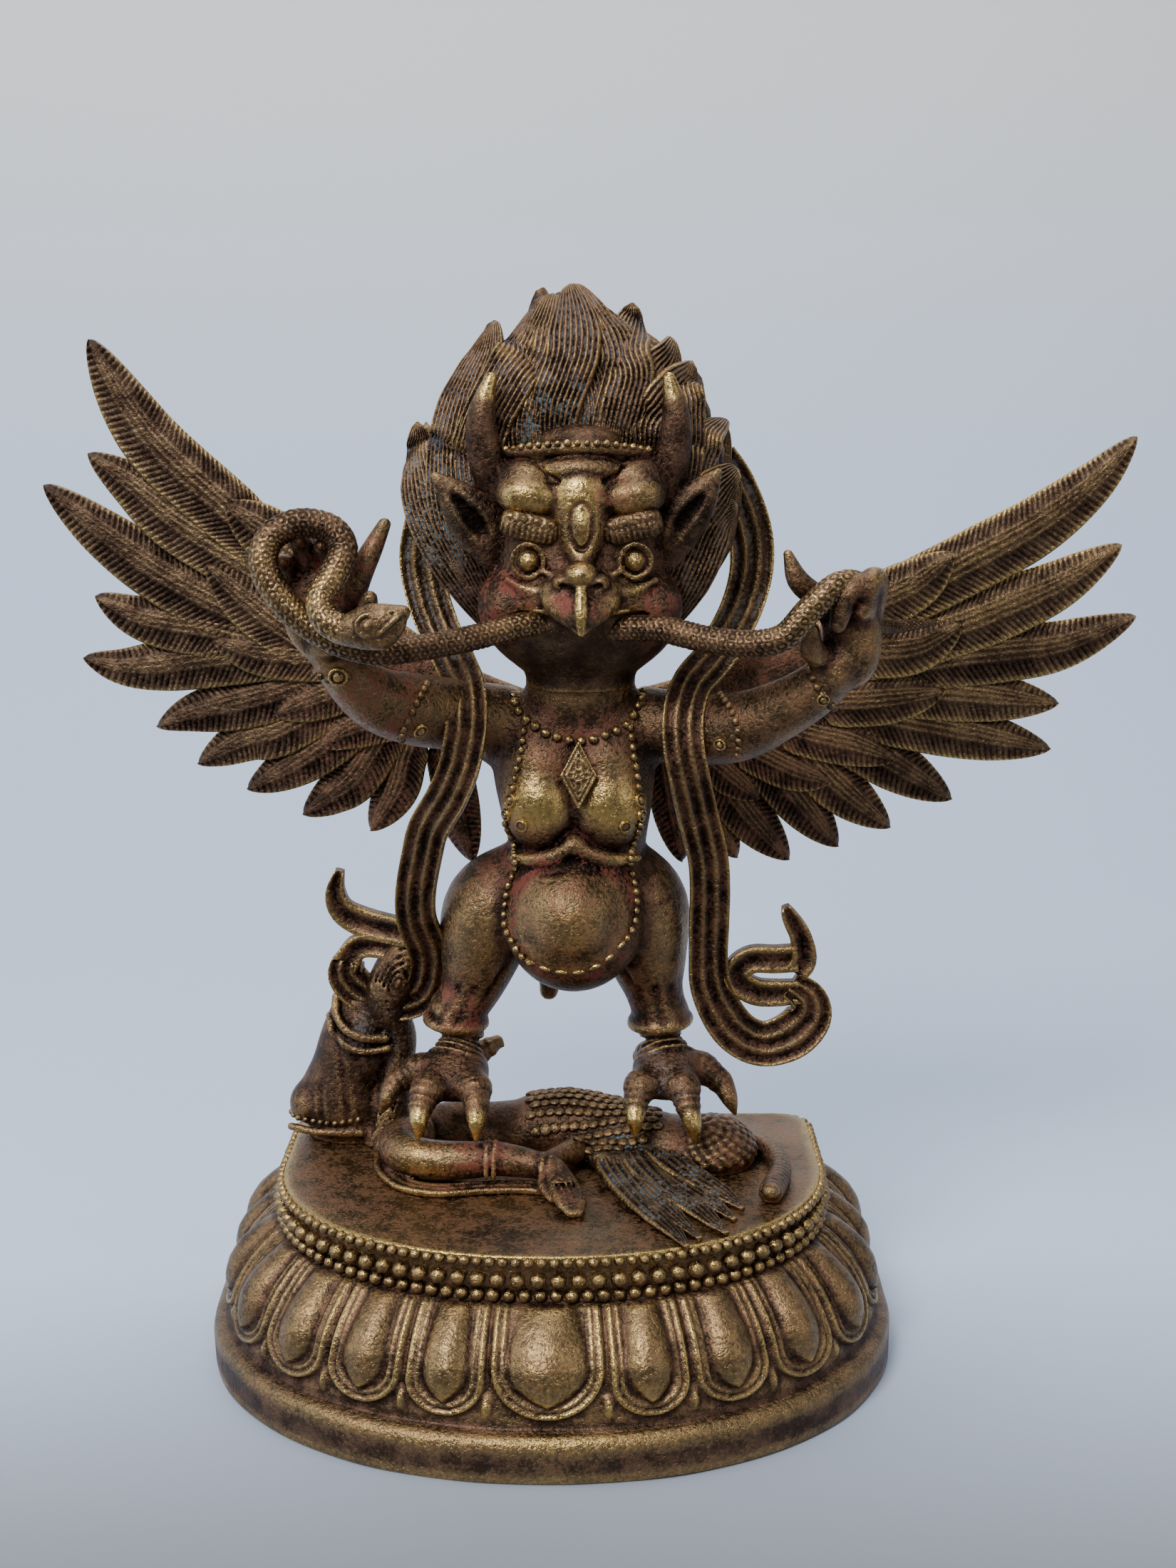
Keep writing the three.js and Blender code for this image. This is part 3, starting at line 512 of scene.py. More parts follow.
def beads(name, lines, radius, pitch, part="garuda_figure", stretch=1.0, polish=0.35, red=0.3, unevenness=0.12):
    """Strings of beads along lines of points in millimetres, as one piece. Their relief is painted light and
    shade: lighter where they face up and forwards, towards the light, and darker underneath."""
    points, edges = [], []
    for line in lines:
        first = len(points)
        points.extend(line)
        edges.extend((first + i, first + i + 1) for i in range(len(line) - 1))
    mesh = evaluated(bead_tree, bead_sockets, {
        "Radius": radius / 1000, "Pitch": pitch / 1000, "Stretch": stretch, "Unevenness": unevenness,
        "Seed": len(name), "Material": cast_brass}, points, edges)
    # Painted light and shade: each bead is lighter where it faces up and forwards, towards the lamps, and darker
    # below.
    facing = np.clip(normals_of(mesh) @ np.array([0.0, -0.75, 0.65]), -1, 1)
    dressed(name, mesh, part, facing * 0.9, polish, red, 0.0)


bead_ends = SIDE_END - 1.5
edge_line = np.linspace(-bead_ends, bead_ends, 500)
for name, height, radius, pitch in (("small_top_beads", 56.4, 1.75, 3.7), ("large_beads", 51.1, 2.6, 5.8),
                                    ("small_lower_beads", 46.4, 2.1, 4.5)):
    bead_line = on_side(edge_line, np.full(len(edge_line), 0.1 + 0.4 * radius), height)
    beads(name, [bead_line], radius, pitch, "lotus_plinth", polish=0.28)


# BODY AND LEGS
# Hollow lost-wax casting: square shoulders, two full breasts, a round polished belly, short legs in tight
# trousers with rolled hems. Everything was modelled in wax and cast in one, so the forms run softly together.
SEAT = PLATE_TOP + 0.3
NO_WAX = 9.0
END_DOME = 4.0


class Wax:
    """Modelling wax: a grid of distances in millimetres above the plate, whose skin becomes the casting."""

    def __init__(self, low, high, pitch):
        self.low = np.array(low, float)
        self.pitch = pitch
        self.shape = tuple(int(math.ceil((h - l) / pitch)) + 1 for l, h in zip(low, high))
        self.field = np.full(self.shape, NO_WAX, np.float32)

    def window(self, low, high):
        """The part of the grid between two corners, as slices, and the x, y and z of its points."""
        last = np.array(self.shape)
        first = np.clip(np.floor((np.array(low) - self.low) / self.pitch).astype(int), 0, last - 1)
        last = np.clip(np.ceil((np.array(high) - self.low) / self.pitch).astype(int) + 1, first + 1, last)
        axes = [(self.low[i] + self.pitch * np.arange(first[i], last[i])).astype(np.float32) for i in range(3)]
        return tuple(slice(a, b) for a, b in zip(first, last)), np.meshgrid(*axes, indexing="ij", sparse=True)

    def places(self):
        """The x, y and z of all the grid's points."""
        return self.window(self.low, self.low + self.pitch * np.array(self.shape))[1]

    def cut_below(self, level):
        """Cuts the wax off flat at a level."""
        self.field = np.maximum(self.field, level - self.places()[2]).astype(np.float32)

    def melt(self, part, distance, blend, cut=False):
        """Joins a shape to the wax, or cuts it out, with a soft seam about as wide as "blend"."""
        old = self.field[part]
        new = -distance if cut else distance
        soft = np.maximum(blend - np.abs(old - new), 0) ** 2 / (4 * blend)
        self.field[part] = np.maximum(old, new) + soft if cut else np.minimum(old, new) - soft

    def ball(self, centre, radii, blend, cut=False, lean=0.0, square=2.0):
        """An egg or ball, turned by "lean" degrees in the picture's plane. "square" over 2 fills its corners."""
        reach = max(radii) + blend + 2
        part, (x, y, z) = self.window([c - reach for c in centre], [c + reach for c in centre])
        dx, dy, dz = x - centre[0], y - centre[1], z - centre[2]
        c, s = math.cos(math.radians(lean)), math.sin(math.radians(lean))
        dx, dz = c * dx + s * dz, c * dz - s * dx
        size = sum(np.abs(way / radius) ** square for way, radius in zip((dx, dy, dz), radii)) ** (1 / square)
        length = np.sqrt(dx ** 2 + dy ** 2 + dz ** 2)
        distance = (size - 1) * np.maximum(length, 0.3 * min(radii)) / np.maximum(size, 1e-3)
        self.melt(part, distance.astype(np.float32), blend, cut)

    def column(self, stations, blend):
        """An upright form at stations (x, y, z, half-width, half-depth), from the lowest to the highest."""
        line = smooth_line(stations, 1.0)
        low, high = line[0, 2], line[-1, 2]
        reach = blend + 2 + line[:, 3:].max()
        part, (x, y, z) = self.window((line[:, 0].min() - reach, line[:, 1].min() - reach, low - blend - 2),
                                      (line[:, 0].max() + reach, line[:, 1].max() + reach, high + blend + 2))
        cx, cy, w, d = (np.interp(np.clip(z, low, high), line[:, 2], line[:, i]) for i in (0, 1, 3, 4))
        distance = (np.sqrt(((x - cx) / w) ** 2 + ((y - cy) / d) ** 2) - 1) * np.minimum(w, d)
        distance = np.maximum(distance, np.abs(z - (low + high) / 2) - (high - low) / 2)
        self.melt(part, distance.astype(np.float32), blend)

    def limb(self, stations, blend, cut=False, face=(0, -1, 0), ripple=None, girth=None):
        """A limb of half-width w and half-depth d along a smooth line, at stations (x, y, z, w), (x, y, z, w, d)
        or, with one girth, (x, y, z). "ripple" is the pitch and depth of rings round it."""
        if girth:
            stations = [(*place, girth) for place in stations]
        line = smooth_line([(*s, s[3]) if len(s) == 4 else s for s in stations])
        reach = blend + 2 + line[:, 3:].max()
        part, (x, y, z) = self.window(line[:, :3].min(0) - reach, line[:, :3].max(0) + reach)
        whole = np.full(np.broadcast(x, y, z).shape, NO_WAX, np.float32)
        corner = np.array([p.start for p in part])
        gone = 0.0
        for step, (a, b) in enumerate(zip(line[:-1], line[1:])):
            axis = b[:3] - a[:3]
            length = np.linalg.norm(axis)
            axis /= length
            across = np.cross(axis, face)
            across /= max(np.linalg.norm(across), 1e-6)
            out = np.cross(across, axis)
            near = max(a[3], a[4], b[3], b[4]) + blend + 2
            piece, (px, py, pz) = self.window(np.minimum(a[:3], b[:3]) - near, np.maximum(a[:3], b[:3]) + near)
            local = tuple(slice(s.start - c, s.stop - c) for s, c in zip(piece, corner))
            dx, dy, dz = px - a[0], py - a[1], pz - a[2]
            run = dx * axis[0] + dy * axis[1] + dz * axis[2]
            side = dx * across[0] + dy * across[1] + dz * across[2]
            depth = dx * out[0] + dy * out[1] + dz * out[2]
            taper = float(np.clip((b[3] - a[3]) / length, -0.85, 0.85))
            from_axis = np.sqrt(side ** 2 + (depth * (a[3] + b[3]) / (a[4] + b[4])) ** 2)
            share = np.clip((run + from_axis * taper / math.sqrt(1 - taper ** 2)) / length, 0, 1)
            over = run - share * length
            w = a[3] + (b[3] - a[3]) * share
            d = a[4] + (b[4] - a[4]) * share
            if ripple:
                swell = ripple[1] * np.abs(np.sin(np.pi * (gone + share * length) / ripple[0])) - ripple[1]
                w = w + swell
                d = d + swell
            cap = 1.0
            if not ripple:
                cap = 0.5 * (w + d)
                if step == 0:
                    cap = np.where((over < 0) & (share == 0), np.minimum(cap, END_DOME), cap)
                if step == len(line) - 2:
                    cap = np.where((over > 0) & (share == 1), np.minimum(cap, END_DOME), cap)
            size = np.sqrt((side / w) ** 2 + (depth / d) ** 2 + (over / cap) ** 2)
            radial = np.sqrt(side ** 2 + depth ** 2 + over ** 2)
            distance = (size - 1) * np.maximum(radial, 0.3 * np.minimum(w, d)) / np.maximum(size, 1e-3)
            whole[local] = np.minimum(whole[local], distance)
            gone += length
        self.melt(part, whole, blend, cut)

    def skin(self):
        """The surface: one point in each cell that it passes through, at the mean of its edges' crossings."""
        field = self.field
        for axis in range(3):
            edge = [slice(None)] * 3
            for end in (0, -1):
                edge[axis] = end
                field[tuple(edge)] = np.maximum(field[tuple(edge)], 0.5)
        inside = field < 0
        cells = tuple(n - 1 for n in self.shape)
        count = np.zeros(cells, np.int8)
        corners = [(i, j, k) for i in (0, 1) for j in (0, 1) for k in (0, 1)]
        for i, j, k in corners:
            count += inside[i:i + cells[0], j:j + cells[1], k:k + cells[2]]
        active = (count > 0) & (count < 8)
        cell = np.argwhere(active)
        index = np.full(cells, -1, np.int32)
        index[active] = np.arange(len(cell))
        total = np.zeros((len(cell), 3))
        hits = np.zeros(len(cell))
        for corner in corners:
            for axis in range(3):
                if corner[axis]:
                    continue
                a = cell + np.array(corner)
                b = a.copy()
                b[:, axis] += 1
                fa = field[tuple(a.T)]
                fb = field[tuple(b.T)]
                cross = (fa < 0) != (fb < 0)
                share = np.where(cross, fa / np.where(cross, fa - fb, 1), 0)
                place = np.repeat(np.array([corner], float), len(cell), 0)
                place[:, axis] += share
                total += place * cross[:, None]
                hits += cross
        points = self.low + self.pitch * (cell + total / np.maximum(hits, 1)[:, None])
        faces = []
        for axis in range(3):
            first, second = [i for i in range(3) if i != axis]
            lower = [slice(1, n - 1) for n in self.shape]
            upper = list(lower)
            lower[axis] = slice(0, self.shape[axis] - 1)
            upper[axis] = slice(1, self.shape[axis])
            a, b = inside[tuple(lower)], inside[tuple(upper)]
            for sign, change in ((1, a & ~b), (-1, ~a & b)):
                at = np.argwhere(change)
                at[:, [first, second]] += 1
                quad = []
                for step in ((1, 1), (0, 1), (0, 0), (1, 0)):
                    here = at.copy()
                    here[:, first] -= step[0]
                    here[:, second] -= step[1]
                    quad.append(index[tuple(here.T)])
                quad = np.stack(quad, -1)
                flip = (sign < 0) != (axis == 1)
                faces.append(quad[:, ::-1] if flip else quad)
        return points, np.concatenate(faces)


def smooth_line(stations, spacing=2.2):
    """Stations with points put between them along a smooth line through them all."""
    stations = np.array(stations, float)
    ends = np.concatenate([[2 * stations[0] - stations[1]], stations, [2 * stations[-1] - stations[-2]]])
    made = []
    for a, b, c, d in zip(ends[:-3], ends[1:-2], ends[2:-1], ends[3:]):
        parts = max(1, int(round(np.linalg.norm(c[:3] - b[:3]) / spacing)))
        for i in range(parts):
            t = i / parts
            made.append(0.5 * (2 * b + (c - a) * t + (2 * a - 5 * b + 4 * c - d) * t ** 2
                               + (3 * b - a - 3 * c + d) * t ** 3))
    made.append(stations[-1])
    line = np.array(made)
    if line.shape[1] > 3:
        line[:, 3:] = np.maximum(line[:, 3:], 0.3)
    return line


def seated(points):
    """Points of the figure, which are measured from the plate, in the frame measured from the floor."""
    points = np.array(points, float)
    points[..., 2] += SEAT
    return points


def of_figure(name, points, faces, **look):
    """A piece of the figure's casting, from points measured from the plate."""
    casting(name, seated(points), faces, "garuda_figure", **look)


def surface_of(points, faces):
    """The surface of a mesh in millimetres, to drop points on."""
    return BVHTree.FromPolygons([tuple(p) for p in points], [tuple(f) for f in faces])


def circle(count, start=0.0, end=2 * math.pi):
    """The cosine and sine of angles round a circle or along an arc."""
    return [(math.cos(t), math.sin(t)) for t in np.linspace(start, end, count)]


def glow(points, centre, radius, soft):
    """1 within a radius of a place in the picture's plane, and falling to 0 beyond it."""
    far = np.hypot(points[:, 0] - centre[0], points[:, 2] - centre[1]) / radius
    return np.clip((1 + soft - far) / soft, 0, 1)


def glows(points, spots):
    """The sum of rubbed or painted spots, each with its weight, x, z, radius and softness."""
    return sum(weight * glow(points, (x, z), radius, soft) for weight, x, z, radius, soft in spots)


def into_neck(polish, red, neck):
    """Polish and red brought to the bare neck's own, where body and head run into each other."""
    return polish * (1 - neck) + 0.17 * neck, red * (1 - neck) + 0.12 * neck


BELLY = (6.6, 84)
body = Wax((-46, -27, 39), (58, 42, 162), 0.88)
body.column([(7.5, 8, 72, 22, 17), (7.5, 8.5, 90, 22.4, 17), (8, 9, 99, 21.2, 16.4), (7.9, 9, 106, 22, 16),
             (7.6, 9, 113, 23.4, 16), (7.2, 9, 122, 24.8, 16), (7, 9, 131, 25.4, 15.5),
             (7.4, 9.5, 137, 25, 14.5), (8.2, 9, 142, 22, 14), (8.8, 8, 146, 18, 14),
             (9.1, 7, 151, 17, 14), (9.1, 5.4, 160, 15.4, 12.6)], 4)
body.limb([(-20, 9, 138.5, 10, 11), (8, 9, 139.5, 10.4, 12), (36, 9, 138.5, 10, 11)], 4)
for x in (-2.8, 17.2):
    body.ball((x, 1, 127), (12, 10.4, 13), 4)
    body.ball((x, -1.4, 117), (12.4, 11.2, 13.8), 2.6, lean=8 if x < 8 else -8)
body.ball((7, -1, 80.8), (21.8, 19.5, 23.2), 3)
body.ball((6.6, -3.6, 83.4), (17.4, 19.4, 18), 0.8)
for flank, side in ((-12, -5), (26.5, 19.5)):
    body.limb([(flank, -5.4, 101, 1.4), (side, -9, 101.2, 2), (1 if flank < 0 else 13.5, -10.6, 102.8, 2.2),
               (7.2, -10, 106, 2)], 3.4)
body.limb([(-8, -9.4, 97.6, 0.9), (1, -13.4, 98.6, 1.2), (7.2, -13.6, 100.6, 1.2), (14, -13.4, 98.6, 1.2),
           (22.5, -9.4, 97.6, 0.9)], 1.0, cut=True)
body.limb([(2, -23.2, 76.4, 0.6), (4.6, -23, 74.6, 1.1), (7, -22.8, 74, 1.2), (9.6, -23, 74.8, 1.0),
           (11.6, -23.2, 76.6, 0.6)], 0.8, cut=True)
body.limb([(5, 20, 86, 8, 7), (1, 30, 64, 6, 5), (-1.5, 31, 46.5, 3, 2.6)], 4)
for side, hip, thigh, knee, calf, hem in ((-1, -9, -18.5, -22.4, -24.8, -30.8),
                                          (1, 23.6, 27.8, 29.8, 31.9, 34.5)):
    body.limb([(hip, 12, 90, 12.5, 12.5), (thigh, 12, 80.5, 15.4, 16), (knee, 12, 67, 13.0, 13.4),
               (calf, 11.5, 56, 9.6, 10.4), ((calf + 2 * hem) / 3, 11, 49, 8.8, 10),
               (hem, 11, 45.6, 9.2, 10.6)], 3)
    body.limb([(hem + 9.2 * c, 11 + 10.2 * s, 43.4 + 0.9 * side * c) for c, s in circle(17)], 2.6, girth=1.5)
    for k in (-1.0, 0.1, 1.2):
        body.limb([(calf + 5 * k, 1 + 0.9 * k * k, 57, 0.5), (hem + 5.6 * k, -0.4 + 1.4 * k * k, 46, 0.7)], 1.6,
                  cut=True)
    body.limb([(hip - side * 7, -6.4, 92, 1.0), (thigh - side * 10.2, -5.4, 80, 1.4),
               (knee - side * 9.6, -0.4, 66, 1.2), (calf - side * 7, 3, 59, 0.6)], 2, cut=True)
points, faces = body.skin()
polish = (0.3 * glow(points, BELLY, 16, 0.12) * (points[:, 1] < 0)
          + glows(points, [(0.68, -4.5, 120, 6.6, 1.1), (0.64, 19, 120, 6.6, 1.1), (-0.3, 7, 102, 8, 0.8),
                           (0.35, -24, 76, 8, 1.0), (0.35, 36, 72, 7, 1.0), (0.25, 9, 152, 12, 0.6)]) - 0.05)
polish = np.where(points[:, 1] > 14, -0.3 * (points[:, 1] > 24), polish)
belly_ring = glow(points, BELLY, 19, 0.15) - glow(points, BELLY, 16.2, 0.1)
red = 0.25 + 0.75 * belly_ring + glows(points, [
    (0.6, -30, 46, 8, 0.6), (0.5, 28, 52, 6, 0.6), (0.4, -17, 105, 9, 1.0), (0.25, 6, 138, 12, 0.5),
    (0.2, 10, 84, 12, 0.4)])
polish, red = into_neck(polish, red, np.clip((points[:, 2] - 144) / 7, 0, 1))
body_surface = surface_of(points, faces)
of_figure("body_and_legs", points, faces, polish=polish, red=np.clip(red, 0, 1), reach=6)


# FEET
# Bird's feet below the trousers' hems, cast with the legs: wrinkled scaly ankles, three clawed toes in front
# and a spur behind, each toe ringed at its joints. The claws are rubbed bright.
UP = (0, 0, 1)
feet = Wax((-60, -25, 8), (64, 32, 52), 0.64)
for hem, ankle, foot, toes in (
    ((-28, 11, 48), (-28.5, 9.5, 39), (-30.5, 2, 29), (
        ((-33, 0, 28), (-38.5, -8, 27), (-40.5, -14, 23), (-41, -18.5, 15)),
        ((-28, -1, 28), (-24, -8, 27.5), (-23, -15, 23.5), (-23, -20, 15)),
        ((-33, 4, 29), (-42, 5, 29), (-50, 4, 24.5), (-54, 2, 16)),
        ((-28, 12, 24), (-25, 15, 30), (-20, 17, 32.5), (-16.2, 17.5, 32.5)))),
    ((34.5, 11, 48), (34.5, 9.5, 39), (36, 2, 29.5), (
        ((33, 0, 29), (28, -7, 28), (26, -12, 23), (26, -16.5, 15)),
        ((38, -1, 29), (41, -8, 28), (42.5, -13.5, 23), (45, -17, 13)),
        ((39, 4, 30), (47, 4, 30), (54, 2, 25.5), (58, 0, 16)),
        ((33, 11, 33), (31, 17, 30), (29, 22, 27), (28, 26, 23)))),
):
    feet.limb([(*hem, 7.2), (*ankle, 6.9),
               (foot[0], foot[1] + 3, foot[2] + 4, 8.4, 8)], 1.5, ripple=(1.9, 0.35))
    feet.ball((foot[0], foot[1] + 1, foot[2] + 0.5), (10.5, 9.5, 8), 3)
    feet.ball((foot[0], foot[1] - 4, foot[2] - 1.5), (10, 8, 6), 3)
    for first, knuckle, joint, claw in toes:
        spur = first[1] > 8
        small = 0.8 if spur else 1.0
        bend = ((joint[0] + claw[0]) / 2, joint[1] + (1.5 if spur else -3.2), (joint[2] + claw[2]) / 2 + 1)
        feet.limb([(*first, 5.2 * small), (*knuckle, 5 * small), (*joint, 4.3 * small)], 2.6, face=UP,
                  ripple=(2.3, 0.4))
        feet.ball(knuckle, (5.5 * small, 5.3 * small, 5 * small), 1.6)
        feet.limb([(*joint, 3.6 * small), (*bend, 2.7 * small), (*claw, 0.7)], 0.7)
points, faces = feet.skin()
claws = np.maximum.reduce([glow(points, (x, z), 3.4, 0.6) * (points[:, 1] < -9) for x, z in
                           ((-41, 20), (-23, 20), (26, 20), (43.5, 19))])
of_figure("feet", points, faces, polish=0.7 * claws, blue=0.35 * glow(points, (35, 32), 6, 0.8), reach=4)


# ARMS AND HANDS
# Short arms bent up at the elbow, cast with the body. The hands are closed round the snake, with the first
# finger pointing up. Bare arms keep most of their red ground; the backs of the hands are rubbed.
arms = Wax((-84, -44, 118), (106, 22, 212), 0.8)
arms.limb([(-14, 10, 140, 11.5), (-28, 4, 143.5, 11), (-41, -6, 147, 10.8), (-51, -16, 152, 9.4),
           (-59, -24, 161, 7.4), (-64, -28, 170, 6)], 3)
arms.limb([(28, 10, 140, 11.5), (42, 4, 139.5, 10.8), (55, -4, 141, 10.6), (67, -12, 147, 9),
           (79, -19, 156, 7.6), (86, -22, 166, 6.2)], 3)
arms.ball((-66, -28, 180), (9.8, 5.2, 14), 3, lean=-6)
arms.ball((-62, -30, 172), (6.5, 5, 7), 2)
arms.ball((88, -22, 171), (8.6, 6.6, 14.5), 3, lean=6)
arms.ball((83, -23, 162), (6.5, 5.5, 7), 2)
for finger, thick in (
    (((-58, -30, 178), (-54, -29.5, 189), (-50, -28, 197), (-46.5, -26.5, 204)), (4.2, 3.8, 3.0, 1.9)),
    (((-60, -27, 186), (-61, -28, 192), (-62.5, -31, 197), (-63.5, -34.5, 198.5)), (3.9, 3.6, 3.2, 2.4)),
    (((-67, -27, 187), (-68, -28, 193), (-69.5, -31, 198.5), (-70.5, -35, 200)), (3.9, 3.6, 3.2, 2.4)),
    (((-73, -27, 184), (-74, -28, 189), (-75, -31, 193), (-75.5, -34.5, 194)), (3.6, 3.4, 3.0, 2.2)),
    (((-58, -31, 174), (-52, -34, 178), (-50, -38, 184)), (4.2, 3.6, 2.4)),
    (((90, -24, 178), (89.5, -31, 186.5), (84.5, -33, 184), (82.5, -32, 176)), (4.5, 4.1, 3.7, 2.5)),
    (((93, -19, 177), (94, -25, 187), (91.5, -32, 188), (89.5, -33, 180)), (4.3, 3.8, 3.4, 2.4)),
    (((84, -20, 176), (77, -24, 183), (71.5, -26, 188), (68.5, -26, 195.5)), (4.4, 3.6, 3.2, 1.4)),
    (((82, -22, 164), (76, -28, 168), (75, -31, 174)), (4.2, 3.6, 2.6)),
):
    arms.limb([(*place, girth) for place, girth in zip(finger, thick)], 1.3)
arms.limb([(94, -27, 160, 0.8), (88, -30, 157, 0.9), (82, -29, 155, 0.8)], 1.0, cut=True)
arms.limb([(-70, -33, 168, 0.7), (-64, -34, 166, 0.8), (-57, -32, 167, 0.7)], 1.0, cut=True)
points, faces = arms.skin()
arm_surface = surface_of(points, faces)
of_figure("arms_and_hands", points, faces,
          polish=glows(points, [(0.3, 93, 174, 5, 0.9), (-0.5, -56, 192, 18, 0.5), (-0.45, 78, 183, 12, 0.5)])
          + 0.05 + 0.13 * (points[:, 0] < 0),
          red=np.clip(0.3 + glows(points, [(0.5, -50, 152, 9, 0.8), (0.3, -56, 192, 18, 0.5)]), 0, 1), reach=5)


# HEAD
# Heavy bird's head with a human brow: swelling forehead, third eye in its block, scrolled eyebrows, ringed
# eyes, hooked beak over a dark mouth, leaf ears and two short horns. Cast with the body, its high spots rubbed.
BROW_WIDE = 8.8
BROW_TALL = 4.4
BROW_SQUARE = 3.6
BROW_SLOPE = 0.23
head = Wax((-40, -38, 152), (58, 34, 250), 0.6)
head.column([(9.1, 6, 148, 16.8, 14), (9.1, 4.6, 156, 16.8, 14.2), (9.1, 3.2, 159, 19.2, 15.6),
             (9.1, 1.6, 162, 22.6, 17.4), (9.1, 0, 166, 26.2, 19.2), (9.1, -1, 171, 28.6, 20.4),
             (9.1, -1, 177, 29.2, 20.8), (9.1, -0.6, 184, 27.8, 20.4), (9, 0, 192, 25.8, 19.5),
             (9, 1, 204, 25.4, 18.5), (9, 3, 215, 25, 17), (9, 4.5, 222, 23.4, 14.4), (9, 6, 227, 20, 11.5),
             (9, 8, 231, 13, 7)], 3)
for x in (-13, 31.2):
    head.ball((x, -7, 178.6), (7.8, 11.5, 8.8), 4)
def on_brow(x, side, a, h):
    """A place on the front of a scrolled plate over the brow, "a" mm outwards and "h" mm up from its middle."""
    fall = abs(a / BROW_WIDE) ** BROW_SQUARE + abs(h / BROW_TALL) ** BROW_SQUARE
    bulge = max(1 - fall, 0.03) ** (1 / BROW_SQUARE)
    return x + side * (a - BROW_SLOPE * h), -15.6 - 5 * bulge, 202.4 + h + BROW_SLOPE * a


brow_plates = []
for x, side, eye in ((-5.4, -1, -6.0), (24.4, 1, 25.2)):
    head.ball((x, -8, 215), (10.8, 9, 7.4), 3.5, lean=3 * side)
    head.ball((x, -10.6, 211), (9.8, 10, 6.2), 2.0, lean=8 * side, square=2.4)
    plate = Wax((x - 11.5, -23.5, 195.5), (x + 11.5, -10, 209), 0.45)
    plate.ball((x, -15.6, 202.4), (BROW_WIDE, 5, BROW_TALL), 0.6, lean=13 * side, square=BROW_SQUARE)
    for k in range(10):
        plate.limb([on_brow(x, side, 7.3 - 1.62 * k, h) for h in (0.4, -1.6, -3.6)], 0.2, cut=True, girth=0.42)
    for k in range(4):
        plate.limb([on_brow(x, side, 6.2 - 4.1 * k + 1.3 * c, 2.3 + 1.2 * s) for c, s in circle(10, -1.2, 4.2)],
                   0.2, cut=True, girth=0.42)
    plate.limb([on_brow(x, side, a, 0.7) for a in np.linspace(-7.8, 7.8, 7)], 0.2, cut=True, girth=0.3)
    brow_plates.append(plate.skin())
    head.ball((eye, -19.6, 192.8), (5.0, 4.6, 5.4), 0.9, cut=True)
    for wide, tall, girth in ((4.8, 5.1, 0.55), (3.9, 4.2, 0.3)):
        head.limb([(eye + wide * c, -19.3 + 0.12 * (5 - wide) - 0.5 * s, 192.8 + tall * s)
                   for c, s in circle(19)], 0.4, girth=girth)
    head.ball((eye, -17, 192.8), (3.2, 4.2, 3.4), 0.3)
    head.limb([(eye + 1.5 * c, -21, 192.5 + 1.6 * s) for c, s in circle(11)], 0.2, cut=True, girth=0.4)
    head.limb([(eye - side * 5.0, -19.6, 189.6, 0.9), (eye - side * 7.6, -20, 188.6, 0.8),
               (eye - side * 9.6, -20.4, 188.8, 0.5)], 0.7)
    head.limb([(eye + side * 6, -15.6, 187, 1.0), (eye + side * 0.5, -18.4, 184.4, 1.2),
               (eye - side * 6, -20.2, 183.8, 1.0)], 1.6)
head.limb([(9.5, -12, 217, 8, 6), (9.5, -13.6, 212, 9.4, 8), (9.5, -14.2, 206, 9, 8), (9.5, -14.8, 200, 7.4, 8),
           (9.5, -16, 195, 5.2, 7), (9.4, -18, 191, 3.6, 6)], 1.0)
head.limb([(9.5 + 3.5 * c, -22.2, 203 + 6.6 * s) for c, s in circle(25)], 0.3, cut=True, girth=0.95)
head.ball((9.5, -19.6, 203), (2.5, 3.6, 5.7), 0.2)
head.ball((9.5, -11, 181), (23, 11.5, 9), 3)
head.ball((9.4, -23.8, 189), (5, 4.8, 4.2), 1.0)
for x in (4.2, 14.6):
    head.ball((x, -23.6, 187), (3.1, 3.6, 2.7), 0.6)
    head.ball((x + 0.1 * (9.4 - x), -27.2, 185.9), (1.9, 2.4, 1.2), 0.3, cut=True, lean=-20 if x < 9 else 20)
head.limb([(9.4, -17, 189, 7, 4.6), (9.4, -19.4, 185.4, 11, 5), (9.4, -21.8, 182, 11.6, 5),
           (9.4, -24.6, 179, 8, 4.6), (9.4, -26.8, 176.4, 4, 3.4), (9.4, -28.4, 173.4, 1.0, 1.1)], 1.2)
head.limb([(9.4, -26.4, 186.4, 1.4, 1.4), (9.4, -28.6, 182, 2.0, 2.0), (9.4, -30.2, 177.6, 1.9, 2.0),
           (9.4, -30, 173, 0.9, 1.0)], 1.2)
mouth = [(-9, -17, 176.6, 1.6), (-4, -20.5, 176.2, 1.8), (1, -23.4, 175.6, 1.9), (5.4, -25.8, 173.4, 1.9),
         (9.4, -26.8, 170.4, 2.0), (13.4, -25.8, 173.4, 1.9), (17.8, -23.4, 175.6, 1.9),
         (23, -20.5, 176.2, 1.8), (28, -17, 176.6, 1.6)]
head.limb(mouth, 0.6, cut=True)
head.limb([(x, y - 1.2, z + 2.5, 0.7) for x, y, z, _ in mouth[1:4]] + [(9.4, -29.8, 173, 0.6)]
          + [(x, y - 1.2, z + 2.5, 0.7) for x, y, z, _ in mouth[5:8]], 0.7)
